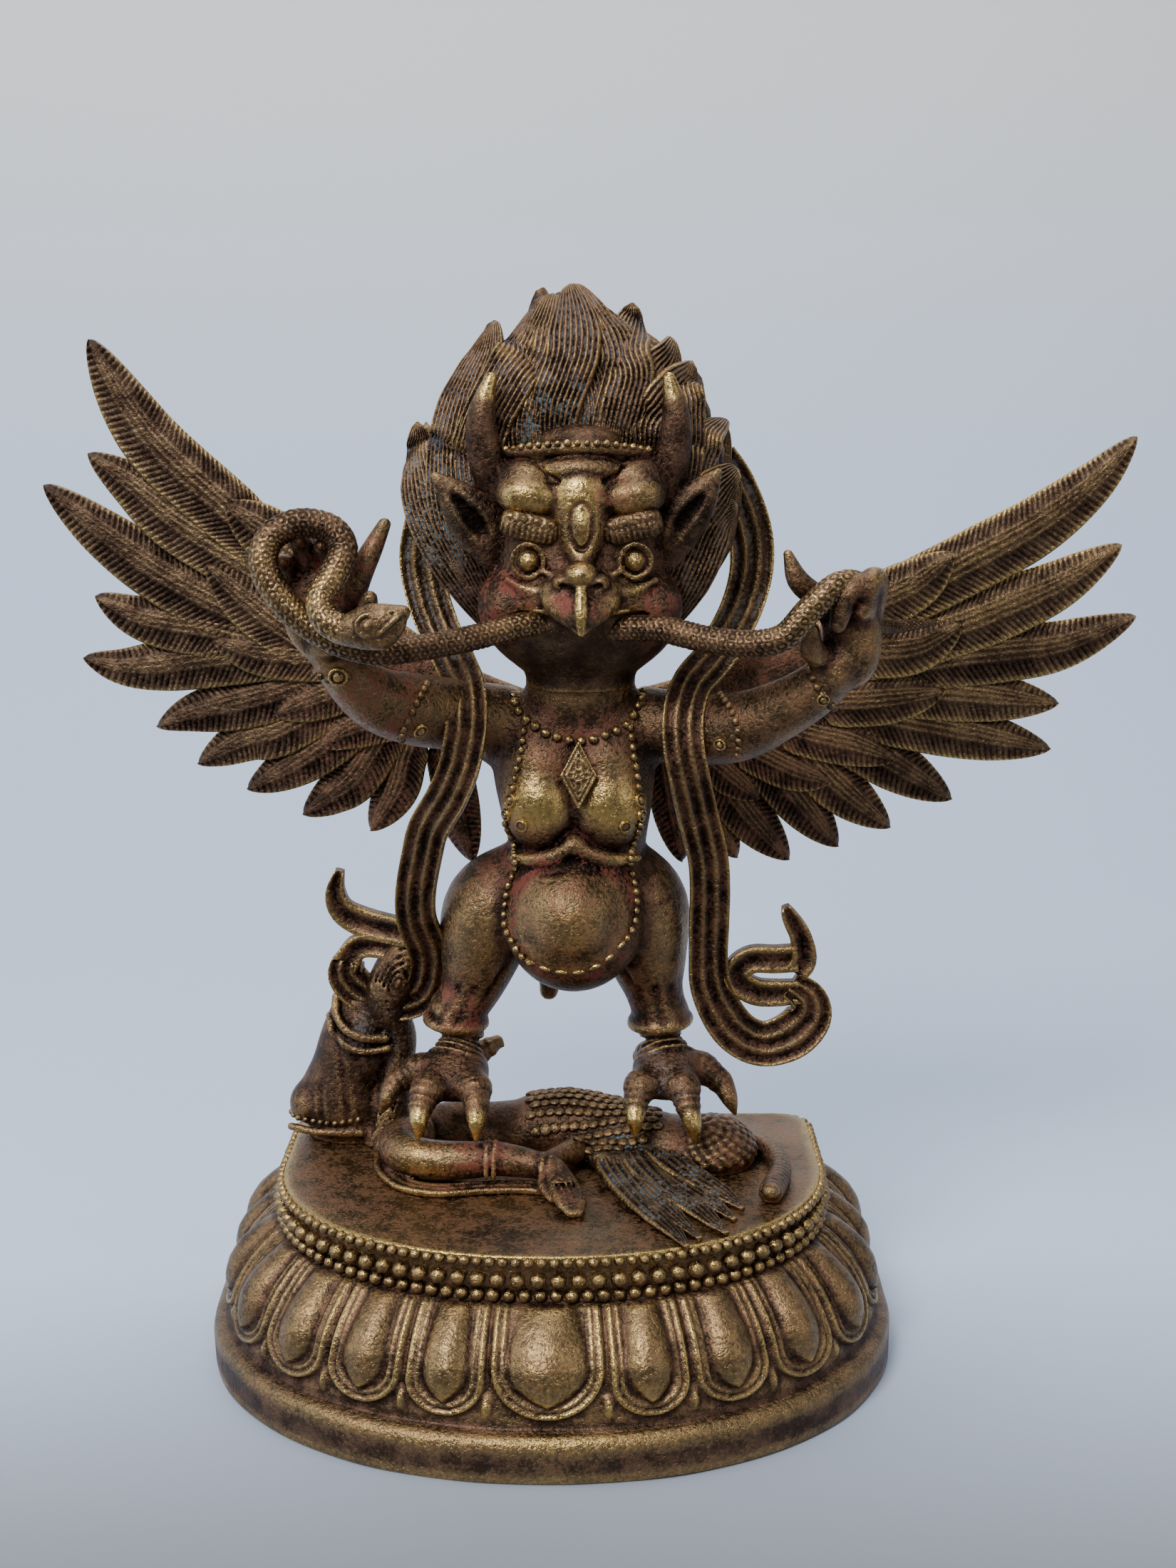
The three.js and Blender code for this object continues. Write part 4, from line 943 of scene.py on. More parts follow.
for ear, dip in (
    (((-15, -4, 193, 6, 4), (-20, -6, 201, 8, 4.2), (-26, -6.5, 208.5, 6.2, 3.6), (-33.5, -6, 216.5, 1.2)),
     ((-18.5, -11.4, 198, 2.4), (-21.5, -12, 203, 3.6), (-26, -11.4, 208.5, 2.8), (-30.5, -10, 213, 0.8))),
    (((33, -4, 193, 6, 4), (37.5, -6, 201.5, 7.6, 4.2), (43.5, -6.5, 209.5, 6, 3.6), (49.5, -6, 217.5, 1.2)),
     ((36, -11.4, 198, 2.2), (39, -12, 203.5, 3.2), (43.5, -11.4, 209, 2.6), (47, -10, 213.5, 0.8))),
):
    head.limb(ear, 1.4)
    head.limb(dip, 0.8, cut=True)
for horn in (((-14, -4, 213, 7, 6), (-18, -7, 221, 5.6, 5.2), (-19.6, -8.5, 230, 4.6, 4.4),
              (-18.8, -9, 237.5, 3.4, 3.4), (-16.6, -9, 244.5, 1.8, 1.8)),
             ((32, -4, 213, 7, 6), (35.5, -7, 221, 5.6, 5.2), (37, -8.5, 230, 4.6, 4.4),
              (36.4, -9, 237.5, 3.4, 3.4), (34.8, -9, 244.5, 1.8, 1.8))):
    head.limb(horn, 2.0)
head.limb([(-13, -8, 223, 1.6), (-3, -13.4, 224.4, 1.9), (9, -15, 225, 2.0), (20, -13.4, 224.4, 1.9),
           (29.5, -8, 223, 1.6)], 0.8)
head.ball((9, -6, 226.5), (11.5, 8.5, 5), 2)
head.ball((9.6, -12.2, 218.6), (12.6, 7.4, 4.8), 0.8)
head.limb([(-2.6, -14, 219.8, 0.5), (3, -17.4, 215.2, 0.9), (9.6, -18.8, 213.7, 1.0), (16.2, -17.4, 215.2, 0.9),
           (21.8, -14, 219.8, 0.5)], 0.6, cut=True)
head.limb([(0.6, -15.4, 221.6, 0.5), (9.6, -17.6, 222.9, 0.8), (18.6, -15.4, 221.6, 0.5)], 0.5, cut=True)
points, faces = head.skin()
front_side = points[:, 1] < -4
on_beak = (points[:, 1] < -24) * (points[:, 2] < 187) * (points[:, 2] > 171)
beak_ridge = np.clip((2.6 - np.abs(points[:, 0] - 9.4)) / 1.4, 0, 1) * on_beak
ears = glows(points, [(1, -24, 206, 5, 0.5), (1, 41.5, 206.5, 5, 0.5)])
polish = (0.6 * beak_ridge - 0.5 * ears + glows(points, [
    (0.7, -5, 211.5, 7, 0.7), (0.5, 25, 211.5, 6, 0.7), (0.7, 9.6, 211, 4.5, 0.7), (0.55, 9.6, 201, 5.5, 0.7),
    (0.45, -3, 181, 5, 0.7), (0.5, 22, 182, 5, 0.7), (0.45, -6, 193, 2.6, 0.4), (0.45, 25, 193, 2.6, 0.4),
    (0.5, 9.3, 189.5, 3.6, 0.5), (0.2, 9.7, 219, 6, 0.5), (0.75, -17, 243, 3, 0.9), (0.65, 35.3, 243, 3, 0.9),
    (-0.25, -17, 224, 9, 0.5), (-0.25, 36, 224, 9, 0.5)])) * front_side - 0.12
red = 0.22 - 0.3 * ears + glows(points, [
    (0.7, -15, 180, 8, 0.7), (0.5, 34, 176, 8, 0.7), (0.7, 4, 181, 2.6, 0.5), (0.6, 15, 180, 2.6, 0.5),
    (0.4, 18, 212, 5, 0.7), (-0.2, 9, 160, 14, 0.5)])
polish, red = into_neck(polish, red, np.clip((162 - points[:, 2]) / 8, 0, 1))
of_figure("head", points, faces, polish=polish, red=np.clip(red, 0, 1), reach=5)


def together(parts):
    """Several meshes of points and faces as one."""
    counts = np.cumsum([0] + [len(p) for p, _ in parts[:-1]])
    return np.concatenate([p for p, _ in parts]), np.concatenate([f + n for (_, f), n in zip(parts, counts)])


points, faces = together(brow_plates)
of_figure("brow_plates", points, faces, polish=0.4 - 0.18 * (points[:, 0] > 9), red=0.15, reach=3, depth=0.16)
diadem = smooth_line([(-12.5, -9.6, 224.2), (-3, -15.4, 225.8), (9, -17, 226.4), (20, -15.4, 225.8),
                      (29, -9.6, 224.2)], 1.0)
beads("diadem_beads", [seated(diadem)], 1.25, 2.75, polish=0.4, unevenness=0.3)


# HAIR
# A mass of long hair behind the face, swept up into flame-shaped locks that end in points. Cast with the head,
# its strands are cut side by side with a round-nosed chisel; rests of blue paint sit in the grooves.
FLAMES = np.array([
    (-24, 170), (-41, 181), (-47, 198), (-45, 213), (-40, 232), (-35, 229), (-29, 243), (-24, 252), (-15, 261),
    (-10, 257), (-4, 265), (0, 270), (3, 268), (6, 272), (13, 270), (18, 266), (25, 260), (33, 267), (38, 253),
    (45, 255), (44, 247), (48.5, 248.5), (50.5, 236), (51, 231), (54.5, 231.5), (55, 219.5), (58.5, 217.5),
    (60, 204), (58, 191), (56, 184), (45, 171), (10, 164),
], float)
HAIR_HEART = np.array((8.0, 14.0, 208.0))
HAIR_THICK = 18.5
HAIR_TOP = 271.9
EYE_X, EYE_Y, EYE_Z = 11.4, -597, 249.7
DRAWN_AT = 582
BACK_SPREAD = 1.05


def flame_reach(turns):
    """How far the outline of the hair is from its heart, at angles in the picture's plane."""
    rays = FLAMES - HAIR_HEART[[0, 2]]
    at = np.arctan2(rays[:, 1], rays[:, 0])
    order = np.argsort(at)
    return np.interp(turns, at[order], np.linalg.norm(rays, axis=1)[order], period=2 * math.pi)


def hair_depth(x, z):
    """How far the hair's surface stands out from the middle of its thickness at a place in the picture."""
    away = np.stack([np.asarray(x, float) - HAIR_HEART[0], np.asarray(z, float) - HAIR_HEART[2]], -1)
    reach = flame_reach(np.arctan2(away[..., 1], away[..., 0]))
    share = np.clip(np.linalg.norm(away, axis=-1) / reach, 0, 1)
    return HAIR_THICK * np.sqrt(np.maximum(1 - share ** 2.4, 0))


def tube(centres, across, out, widths, depths, section):
    """A closed tube. "section" is a ring of (across, out, relief), the first two as shares of its size."""
    rings = (centres[:, None] + across[:, None] * (widths[:, None] * section[None, :, 0])[..., None]
             + out[:, None] * (depths[:, None] * section[None, :, 1])[..., None])
    rings = np.concatenate([rings, np.broadcast_to(section[None, :, 2:], rings.shape[:2] + (1,))], -1)
    return closed(rings)


def strands(count, depth_back=0.5):
    """A ring for a lock: a domed front of rounded strands with sharp grooves between them, and a plain back."""
    u = np.linspace(-1, 1, 4 * count + 1)
    front = np.sqrt(1 - 0.86 * u ** 2)
    rounded = np.abs(np.sin(0.5 * math.pi * count * (u + 1))) ** 0.7
    ring = [(a, h * 0.74 + 0.3 * r, 0.8 * r - 0.5) for a, h, r in zip(u, front, rounded)]
    back = [(0.6, -depth_back, 0), (0, -depth_back * 1.2, 0), (-0.6, -depth_back, 0)]
    if (len(ring) + len(back)) % 2:
        back = [(0.6, -depth_back, 0), (-0.6, -depth_back, 0)]
    return np.array(ring + back)[::-1]


def lock(path, width, count, lift, thick, side=-1, spacing=1.4):
    """A lock along (x, z) places. Its half-width swells from the root and runs out to a point at the tip."""
    line = smooth_line([(x, 0, z) for x, z in path], spacing)
    x, z = line[:, 0], line[:, 2]
    # Front locks are drawn as the camera sees them on a plane in front of it, and go back to their depth.
    for _ in range(2):
        nearer = (HAIR_HEART[1] - hair_depth(x, z) - EYE_Y) / DRAWN_AT if side < 0 else BACK_SPREAD
        x, z = EYE_X + (line[:, 0] - EYE_X) * nearer, EYE_Z + (line[:, 2] - EYE_Z) * nearer
    share = np.linspace(0, 1, len(line))
    wave = np.sin(share * 9 + len(path) + x[0])
    depth = hair_depth(x, z) + lift * np.sin(math.pi * np.clip(share * 1.1, 0, 1)) - 1.0
    centres = np.stack([x, HAIR_HEART[1] + side * np.maximum(depth, 0.6), z], 1)
    ahead = np.gradient(centres, axis=0)
    ahead /= np.linalg.norm(ahead, axis=1, keepdims=True)
    slope_x = (hair_depth(x - 1.5, z) - hair_depth(x + 1.5, z)) / 3
    slope_z = (hair_depth(x, z - 1.5) - hair_depth(x, z + 1.5)) / 3
    face = np.stack([slope_x, np.full(len(x), float(side)), slope_z], 1)
    face /= np.linalg.norm(face, axis=1, keepdims=True)
    across = np.cross(ahead, face)
    across /= np.linalg.norm(across, axis=1, keepdims=True)
    out = np.cross(across, ahead)
    full = np.clip(0.72 + 0.9 * share, 0, 1) * np.clip((1.0 - share) / 0.28, 0, 1) ** 0.5 * (1 + 0.03 * wave)
    widths = np.maximum(width * full, 0.35)
    depths = np.maximum(thick * np.clip(full, 0, 1) ** 0.6, 0.35)
    return tube(centres, across, out, widths, depths, strands(count))


def in_crop(places):
    """Places of the hair's own drawing, in steps of about 0.08 mm, as (x, z)."""
    return [(9 + (a - 740) / (13.5 if a < 740 else 12.95), 225 - (b - 660) / 13.5) for a, b in places]


LOCKS = [
    ([(395, 1330), (300, 1200), (205, 1050), (140, 900), (118, 760), (118, 660), (112, 560)], 7.0, 9),
    ([(420, 1260), (330, 1060), (268, 880), (258, 700), (288, 545), (345, 400), (388, 300),
    (416, 178)], 9.2, 13), ([(440, 1000), (360, 860), (340, 700), (382, 560), (445, 440), (508, 330),
    (560, 225), (604, 56)], 8.4, 11), ([(480, 700), (480, 560), (515, 440), (580, 320), (622, 220),
    (640, 80)], 8.2, 10), ([(560, 690), (566, 560), (604, 440), (655, 320), (670, 200), (664, 72)], 7.8, 10),
    ([(640, 690), (640, 560), (668, 440), (712, 330), (718, 200), (704, 44)], 8.0, 10),
    ([(730, 690), (745, 560), (785, 440), (800, 330), (785, 210), (718, 40)], 7.8, 10),
    ([(815, 690), (830, 560), (862, 450), (878, 350), (855, 250), (770, 110)], 7.3, 9),
    ([(880, 690), (880, 590), (905, 480), (930, 380), (915, 270), (935, 112)], 7.1, 9),
    ([(930, 700), (935, 600), (965, 490), (1015, 390), (1060, 320), (1080, 245)], 7.8, 10),
    ([(990, 700), (1000, 600), (1040, 500), (1090, 430), (1130, 380), (1150, 330)], 7.6, 9),
    ([(1100, 900), (1105, 740), (1120, 620), (1120, 500), (1130, 410), (1156, 330)], 7.2, 9),
    ([(1100, 1000), (1135, 860), (1160, 740), (1190, 650), (1222, 600), (1290, 554)], 7.0, 9),
    ([(1070, 1120), (1120, 1010), (1165, 920), (1215, 850), (1260, 800), (1332, 746)], 7.4, 10),
    ([(1060, 1330), (1120, 1230), (1175, 1110), (1215, 1000), (1258, 930), (1330, 880)], 7.4, 10),
    ([(770, 640), (790, 520), (770, 420), (735, 330), (728, 230), (735, 130)], 6.5, 9),
]
parts = [lock(in_crop(path), width, count, lift=1.2 * (i % 3), thick=3.0 + 0.5 * (i % 2))
         for i, (path, width, count) in enumerate(LOCKS)]
BACK_LOCKS = [
    ([(700, 1480), (480, 1200), (300, 1000), (180, 820), (142, 566)], 9, 5),
    ([(710, 1460), (540, 1150), (380, 850), (370, 500), (415, 182)], 9.0, 5),
    ([(720, 1440), (620, 1100), (510, 800), (520, 450), (612, 66)], 9.0, 5),
    ([(735, 1430), (700, 1080), (640, 750), (660, 400), (715, 44)], 9.5, 5),
    ([(750, 1430), (780, 1080), (800, 750), (850, 430), (935, 116)], 9.5, 5),
    ([(770, 1440), (860, 1120), (950, 820), (1000, 520), (1082, 250)], 9.5, 5),
    ([(780, 1460), (940, 1160), (1070, 860), (1130, 600), (1152, 336)], 9.5, 5),
    ([(790, 1480), (980, 1230), (1140, 980), (1220, 780), (1285, 566)], 9, 5),
    ([(800, 1500), (1000, 1330), (1160, 1130), (1260, 930), (1332, 756)], 9, 5),
]
parts += [lock(in_crop(path), width, count, side=1, lift=0.8 * (i % 2), thick=3.4, spacing=2.2)
          for i, (path, width, count) in enumerate(BACK_LOCKS)]
# The mass under the locks: each ring is the flames' outline drawn in, and smoothed away from the edge.
MASS_TURNS = 96
turns = np.linspace(0, 2 * math.pi, MASS_TURNS, endpoint=False)
reach = flame_reach(turns)
mean = sum(np.roll(reach, k) for k in range(-7, 8)) / 15
reach = np.minimum(mean - 5.5, reach - 3.5)
rings = []
for k, lean in enumerate(np.linspace(math.radians(86), -math.radians(86), 61)):
    strand = (0.0, 0.7, 1.0, 0.7)[k % 4]
    away = (reach + 0.9 * strand) * math.cos(lean) ** 0.6
    back = HAIR_HEART[1] - 17 * math.sin(lean)
    rings.append(np.stack([HAIR_HEART[0] + away * np.cos(turns), np.full(MASS_TURNS, back),
                           HAIR_HEART[2] + away * np.sin(turns), np.full(MASS_TURNS, 0.8 * strand - 0.6)], 1))
points, faces = together(parts + [closed(np.array(rings))])
points[:, 2] = np.minimum(points[:, 2], HAIR_TOP)
of_figure("hair", points, faces, polish=-0.13, red=0.3,
          blue=0.32 + glows(points, [(0.6, 2, 233, 8, 0.8), (0.4, -38, 205, 12, 0.9)]), reach=3, depth=0.2)


# WINGS
# Each wing is one thin casting fixed behind the shoulder: a fan of long feathers, each lapping over the next
# lower one, under rows of short ones. Every feather has a rib of two fine lines and barbs cut as short strokes.
WING_BACK = 46.6
HALF_LINES = [0.1, 0.2, 0.3, 0.41, 0.57, 0.76, 0.93, 1]
RIB_LINES = np.array([-share for share in HALF_LINES[::-1]] + [0] + HALF_LINES)
LEAF_ROOT = 0.75
LEAF_FULL_AT = 0.28
LEAF_NARROWS_AT = 0.5
BARB_PITCH = 2.1
BARB_STROKE = np.array([1.0, 0.1, 0.0, 0.2])


def wing_depth(x):
    """How far back the wings lie: they sweep back a little towards their tips."""
    return 26 + 0.1 * np.abs(x)


def leaf(share):
    """Half-width of a feather along its length, from its root to its rounded point."""
    rise = LEAF_ROOT + (1 - LEAF_ROOT) * np.clip(share / LEAF_FULL_AT, 0, 1) ** 0.8
    narrowed = np.clip(share - LEAF_NARROWS_AT, 0, 1) / (1 - LEAF_NARROWS_AT)
    fall = np.clip(1 - narrowed ** 2.1, 0, 1) ** 0.72
    return rise * fall


def feather(quill, half, down, front, tone, lap=1.5, thick=3.0):
    """A feather along (x, z) places. "down" is 1 or -1, the side of the quill where the next lower one lies."""
    line = smooth_line([(x, 0, z) for x, z in quill], 1.0)
    way = way_along(line)
    rows = int(way[-1] / BARB_PITCH) * len(BARB_STROKE)
    share = np.linspace(0, 1, rows)[:, None]
    across = RIB_LINES[None, :]
    aside = np.abs(across)
    ahead = share + 1.3 * half / way[-1] * aside * (1 - share)
    place = np.clip(ahead, 0, 1) * way[-1]
    x, z = (np.interp(place, way, line[:, i]) for i in (0, 2))
    run_x, run_z = (np.interp(place + 0.5, way, line[:, i]) - np.interp(place - 0.5, way, line[:, i])
                    for i in (0, 2))
    length = np.maximum(np.hypot(run_x, run_z), 1e-6)
    width = np.where(across * down > 0, 1.2, 0.88) * half * leaf(np.clip(ahead, 0, 1))
    x = x - run_z / length * width * across
    z = z + run_x / length * width * across
    rib = np.interp(aside, (0, 0.1, 0.2, 0.3, 0.41, 0.57), (0.1, 0.9, 0.0, 0.65, -0.15, 0))
    rib = rib * (1 - 0.75 * share ** 2)
    dome = 1.5 * np.sqrt(np.clip(1 - across ** 2, 0, 1))
    stroke = BARB_STROKE[np.arange(rows) % len(BARB_STROKE)][:, None]
    stroke = stroke * np.clip((aside - 0.35) / 0.15, 0, 1) * (aside < 0.95) * np.clip(share / 0.15, 0, 1)
    edge = 0.35 * (aside > 0.9)
    height = (dome + 0.8 * rib + edge - 0.6 * stroke) * np.clip(width / 2.0, 0.2, 1)
    drawn = 0.9 * rib + 1.2 * edge - 0.6 * stroke - 0.2 + tone
    y = wing_depth(x) + front - lap * across * down - height
    back_across = np.array([0.9, 0.0, -0.9])
    back_x, back_z = x[:, [15, 8, 1]], z[:, [15, 8, 1]]
    back_y = wing_depth(back_x) + front + thick - lap * back_across * down + 0.8 * (back_across == 0)
    pairs = ((x, back_x), (y, np.minimum(back_y, WING_BACK)), (z, back_z), (drawn, np.full(back_x.shape, -1.1)))
    return closed(np.stack([np.concatenate(pair, 1) for pair in pairs], -1))


LEFT_LONG = [
    [(-80, 186), (-87, 191), (-102, 205), (-121, 222), (-132, 236), (-144, 256)],
    [(-74, 172), (-83, 179), (-100, 190), (-118, 201), (-132, 212), (-146, 221)],
    [(-72, 160), (-83, 166), (-104, 174), (-123, 184), (-141, 196), (-160.9, 211)],
    [(-72, 157), (-83, 161), (-108, 167), (-131, 170), (-146, 176)],
    [(-66, 158), (-79, 161), (-106, 158), (-135, 154), (-151, 156)],
    [(-56, 154), (-70, 153), (-88, 147), (-102, 143), (-117, 139), (-128, 134)],
    [(-54, 150), (-68, 146), (-88, 135), (-98, 132), (-107, 127), (-115, 122)],
    [(-48, 146), (-61, 140), (-74, 130), (-89, 120), (-99, 114)],
    [(-44, 142), (-54, 135), (-64, 120), (-72, 113), (-81, 106)],
    [(-42, 138), (-48, 127), (-51, 116), (-59, 101)],
    [(-36, 136), (-34, 124), (-31, 107), (-26, 91)],
]
LEFT_SHORT = [
    [(-70, 182), (-78, 190), (-102, 206)], [(-68, 160), (-81, 165), (-95, 175), (-109, 187)],
    [(-60, 160), (-70, 159), (-94, 160), (-108, 163)], [(-50, 153), (-59, 151), (-72, 147), (-89, 139)],
    [(-40, 143), (-50, 140), (-64, 136), (-75, 129)],
]
RIGHT_LONG = [
    [(86, 166), (97, 171), (118, 181), (134, 189), (153, 199), (171, 212), (185, 226)],
    [(88, 156), (101, 159), (130, 168), (146, 174), (163, 181), (182, 192)],
    [(86, 151), (100, 153), (124, 157), (145, 159), (164, 161), (188, 169)],
    [(84, 148), (100, 148), (131, 146), (164, 141)],
    [(80, 143), (96, 141), (125, 135), (142, 131), (162, 126)],
    [(74, 141), (91, 135), (112, 122), (130, 110)],
    [(64, 139), (79, 130), (93, 116), (110, 101)],
    [(56, 138), (68, 126), (80, 112), (93, 95)],
    [(46, 136), (53, 124), (61, 111), (77, 91)],
    [(42, 134), (46, 119), (53, 106), (60, 92)],
    [(36, 134), (38, 122), (41, 105), (42, 91)],
]
RIGHT_SHORT = [
    [(86, 168), (101, 175), (116, 182), (127, 190)], [(84, 159), (98, 160), (116, 161), (131, 168)],
    [(80, 146), (96, 144), (126, 146)], [(68, 139), (82, 134), (97, 130), (111, 124)],
    [(56, 134), (68, 127), (80, 121), (90, 117)], [(44, 132), (54, 124), (67, 112)],
]
for name, long, short, down, bones in (
    ("left_wing", LEFT_LONG, LEFT_SHORT, 1,
     ((3, 130, 5, 4), (-8, 135, 11, 7), (-30, 141, 14, 6), (-52, 153, 15, 5), (-88, 188, 8, 3.6))),
    ("right_wing", RIGHT_LONG, RIGHT_SHORT, -1,
     ((12, 130, 5, 4), (22, 134, 11, 7), (46, 138, 14, 6), (68, 146, 15, 5), (104, 168, 8, 3.6))),
):
    parts = [feather(quill, 9.6 - 0.2 * i if i < 9 else 7.2, down, -0.4 - 0.05 * i, 0.13 * math.sin(2.3 * i))
             for i, quill in enumerate(long)]
    parts += [feather(quill, 8.6 - 0.35 * i, down, -2.4, 0.1, lap=1.2, thick=4.0)
              for i, quill in enumerate(short)]
    points, faces = together(parts)
    tip = np.clip((np.hypot(points[:, 0] - 8, points[:, 2] - 140) - 60) / 100, 0, 1)
    of_figure(name + "_feathers", points, faces, polish=-0.06 - 0.02 * down + (0.13 - 0.1 * down) * tip,
              red=np.clip(0.4 - 0.7 * tip, 0.05, 1), reach=3, depth=0.35)
    stations = smooth_line([(x, wing_depth(x) + 1.5, z, w, d) for x, z, w, d in bones])
    wing_bone = Wax(stations[:, :3].min(0) - 18, stations[:, :3].max(0) + 18, 1.2)
    wing_bone.limb([tuple(s) for s in stations[::3]], 2)
    for shift in (-0.6, -0.2, 0.2, 0.6):
        wing_bone.limb([(x, y + d * (1 - 0.5 * shift ** 2), z + shift * w) for x, y, z, w, d in stations[6::4]],
                       0.8, cut=True, girth=0.9)
    points, faces = wing_bone.skin()
    of_figure(name + "_arm", points, faces, red=0.5)


# SNAKE
# One thick snake, held in the beak and in both hands, cast with the figure. Its skin is stamped all over with
# small rings, which stay bright on the rubbed curves. Its head comes back over the hand on the viewer's left.
HEAD_SIDE = [
    (5, -14, 173), (-5, -19, 174.5), (-14, -23, 173), (-25, -29, 171), (-36, -35, 169.8), (-48, -40, 169.2),
    (-60, -42, 173), (-71, -42, 181), (-78.5, -41, 192), (-77.5, -39, 200.5), (-70, -37, 205),
    (-61, -36, 203.6), (-57, -38, 198), (-59.5, -43, 191), (-62.5, -47, 185), (-60.5, -50, 179.5),
    (-54, -51.5, 176.5), (-49, -52.5, 177),
]
TAIL_SIDE = [
    (13, -14, 172), (22, -18.5, 173), (33, -23, 173.4), (46, -29, 171.2), (58, -33, 170.6), (67, -35.5, 173),
    (74, -35, 180.5), (82, -32.5, 187), (89, -27, 186.4), (94, -12, 179), (97, 4, 172), (106, 20, 168.5),
    (121, 30.5, 168.6),
]
STAMP_PITCH = 2.7
STAMP_WIDTH = 2.8
STAMP_RADIUS = 0.95
LANES = 9


def frame_along(line, face):
    """The directions ahead, across and out at each point of a line. "across" is square to the way it faces."""
    ahead = np.gradient(line, axis=0)
    ahead /= np.linalg.norm(ahead, axis=1, keepdims=True)
    across = np.cross(ahead, face)
    across /= np.linalg.norm(across, axis=1, keepdims=True)
    return across, np.cross(across, ahead)


def snake_body(path, radius_at):
    """A round body stamped with staggered rows of rings. "radius_at" gives its radius along its length."""
    line = smooth_line(path, 0.45)
    way = np.cumsum(np.linalg.norm(np.gradient(line, axis=0), axis=1))
    across, out = frame_along(line, (0.0, -1.0, 0.3))
    turn = np.linspace(0, 2 * math.pi, 48, endpoint=False)[None, :]
    radius = radius_at(way / way[-1])[:, None]
    row = way[:, None] / STAMP_PITCH
    lane = turn / (2 * math.pi) * LANES + (np.floor(row) % 2) * 0.5
    far = np.hypot((row - np.floor(row) - 0.5) * STAMP_PITCH, (lane - np.floor(lane) - 0.5) * STAMP_WIDTH)
    cut = np.exp(-((far - STAMP_RADIUS) / 0.32) ** 2)
    size = radius + (0.15 - 0.45 * cut) * np.clip(radius / 3, 0, 1)
    rings = (line[:, None] + across[:, None] * (size * np.sin(turn))[..., None]
             + out[:, None] * (size * np.cos(turn))[..., None])
    return closed(np.concatenate([rings, (0.45 - 1.4 * cut)[..., None]], -1)[:, ::-1])


parts = [snake_body(HEAD_SIDE, lambda s: 3.7 + 0.4 * np.clip((s - 0.35) / 0.2, 0, 1)),
         snake_body(TAIL_SIDE, lambda s: np.where(s < 0.72, 3.9, 3.9 - 2.8 * (s - 0.72) / 0.28))]
points, faces = together(parts)
bright = glows(points, [(0.4, -77, 190, 9, 0.8), (0.45, -59, 184, 9, 0.8), (0.35, 76, 182, 11, 0.8),
                        (0.35, -9, 174, 6, 0.8)])
of_figure("snake", points, faces, polish=0.12 + bright, red=0.15, reach=3, depth=0.5)
snake_head = Wax((-62, -62, 166), (-32, -44, 190), 0.42)
snake_head.limb([(-57, -51, 176.6, 3.6, 3.6), (-52, -52.4, 177.4, 5.2, 4.6), (-47, -53, 178.8, 5.8, 4.8),
                 (-42.6, -53.6, 180.4, 4.0, 3.8), (-39.4, -54, 182, 2.2, 2.4)], 0.8)
snake_head.limb([(-50, -53, 175.6, 3.8, 3.8), (-45, -53.6, 175, 3.2, 3.4), (-41.4, -54, 176.8, 2.0, 2.4),
                 (-39.6, -54.2, 178.8, 1.3, 1.6)], 0.8)
snake_head.limb([(-46.4, -58, 174.6, 0.5), (-43.4, -58.4, 177.2, 0.9), (-40.6, -57.6, 180, 1.1),
                 (-37.4, -56.4, 181.2, 1.2)], 0.4, cut=True)
snake_head.limb([(-45.6, -57.2, 176.6, 0.6), (-43, -57.4, 179, 0.7), (-40.4, -56.6, 181.2, 0.6)], 0.3)
snake_head.limb([(-48.6 + 3.0 * c, -57.0 + 0.3 * c, 179 + 2.9 * s) for c, s in circle(15)], 0.4, girth=0.6)
snake_head.ball((-48.6, -56.6, 179), (1.6, 1.8, 1.6), 0.3)
for x in (-41.8, -40.0):
    snake_head.ball((x, -57.2, 182.6 + 0.4 * (x + 41)), (0.5, 1.2, 0.5), 0.2, cut=True)
points, faces = snake_head.skin()
of_figure("snake_head", points, faces, polish=0.25, red=0.15, reach=4)


# SCARF
# A narrow pleated scarf: it rises behind the head, comes over each shoulder, hangs past the hips and ends in an
# open scroll. Cast with the figure; its blue paint survives behind the shoulders, and red lower down.
def band_of(stations, section, face, spacing=1.5):
    """A band along stations (x, y, z, half-width, half-depth) whose front faces a way."""
    line = smooth_line(stations, spacing)
    return tube(line[:, :3], *frame_along(line[:, :3], face), line[:, 3], line[:, 4], section)


def pleated(pleats, dip=0.5):
    """A ring for cloth: round furrows side by side between sharp raised lines, and a plain back."""
    u = np.linspace(-1, 1, 6 * pleats + 1)
    wave = 0.5 - 0.5 * np.cos(math.pi * pleats * (u + 1))
    front = [(a, 1.1 - dip * w, 0.45 - 1.15 * w) for a, w in zip(u, wave)]
    ring = [(-1.0, -0.8, -1)] + front + [(1.0, -0.8, -1), (0.4, -1.0, -1), (-0.4, -1.0, -1)]
    if len(ring) % 2:
        ring = ring[:-2] + [(0.0, -1.0, -1)]
    return np.array(ring)[::-1]


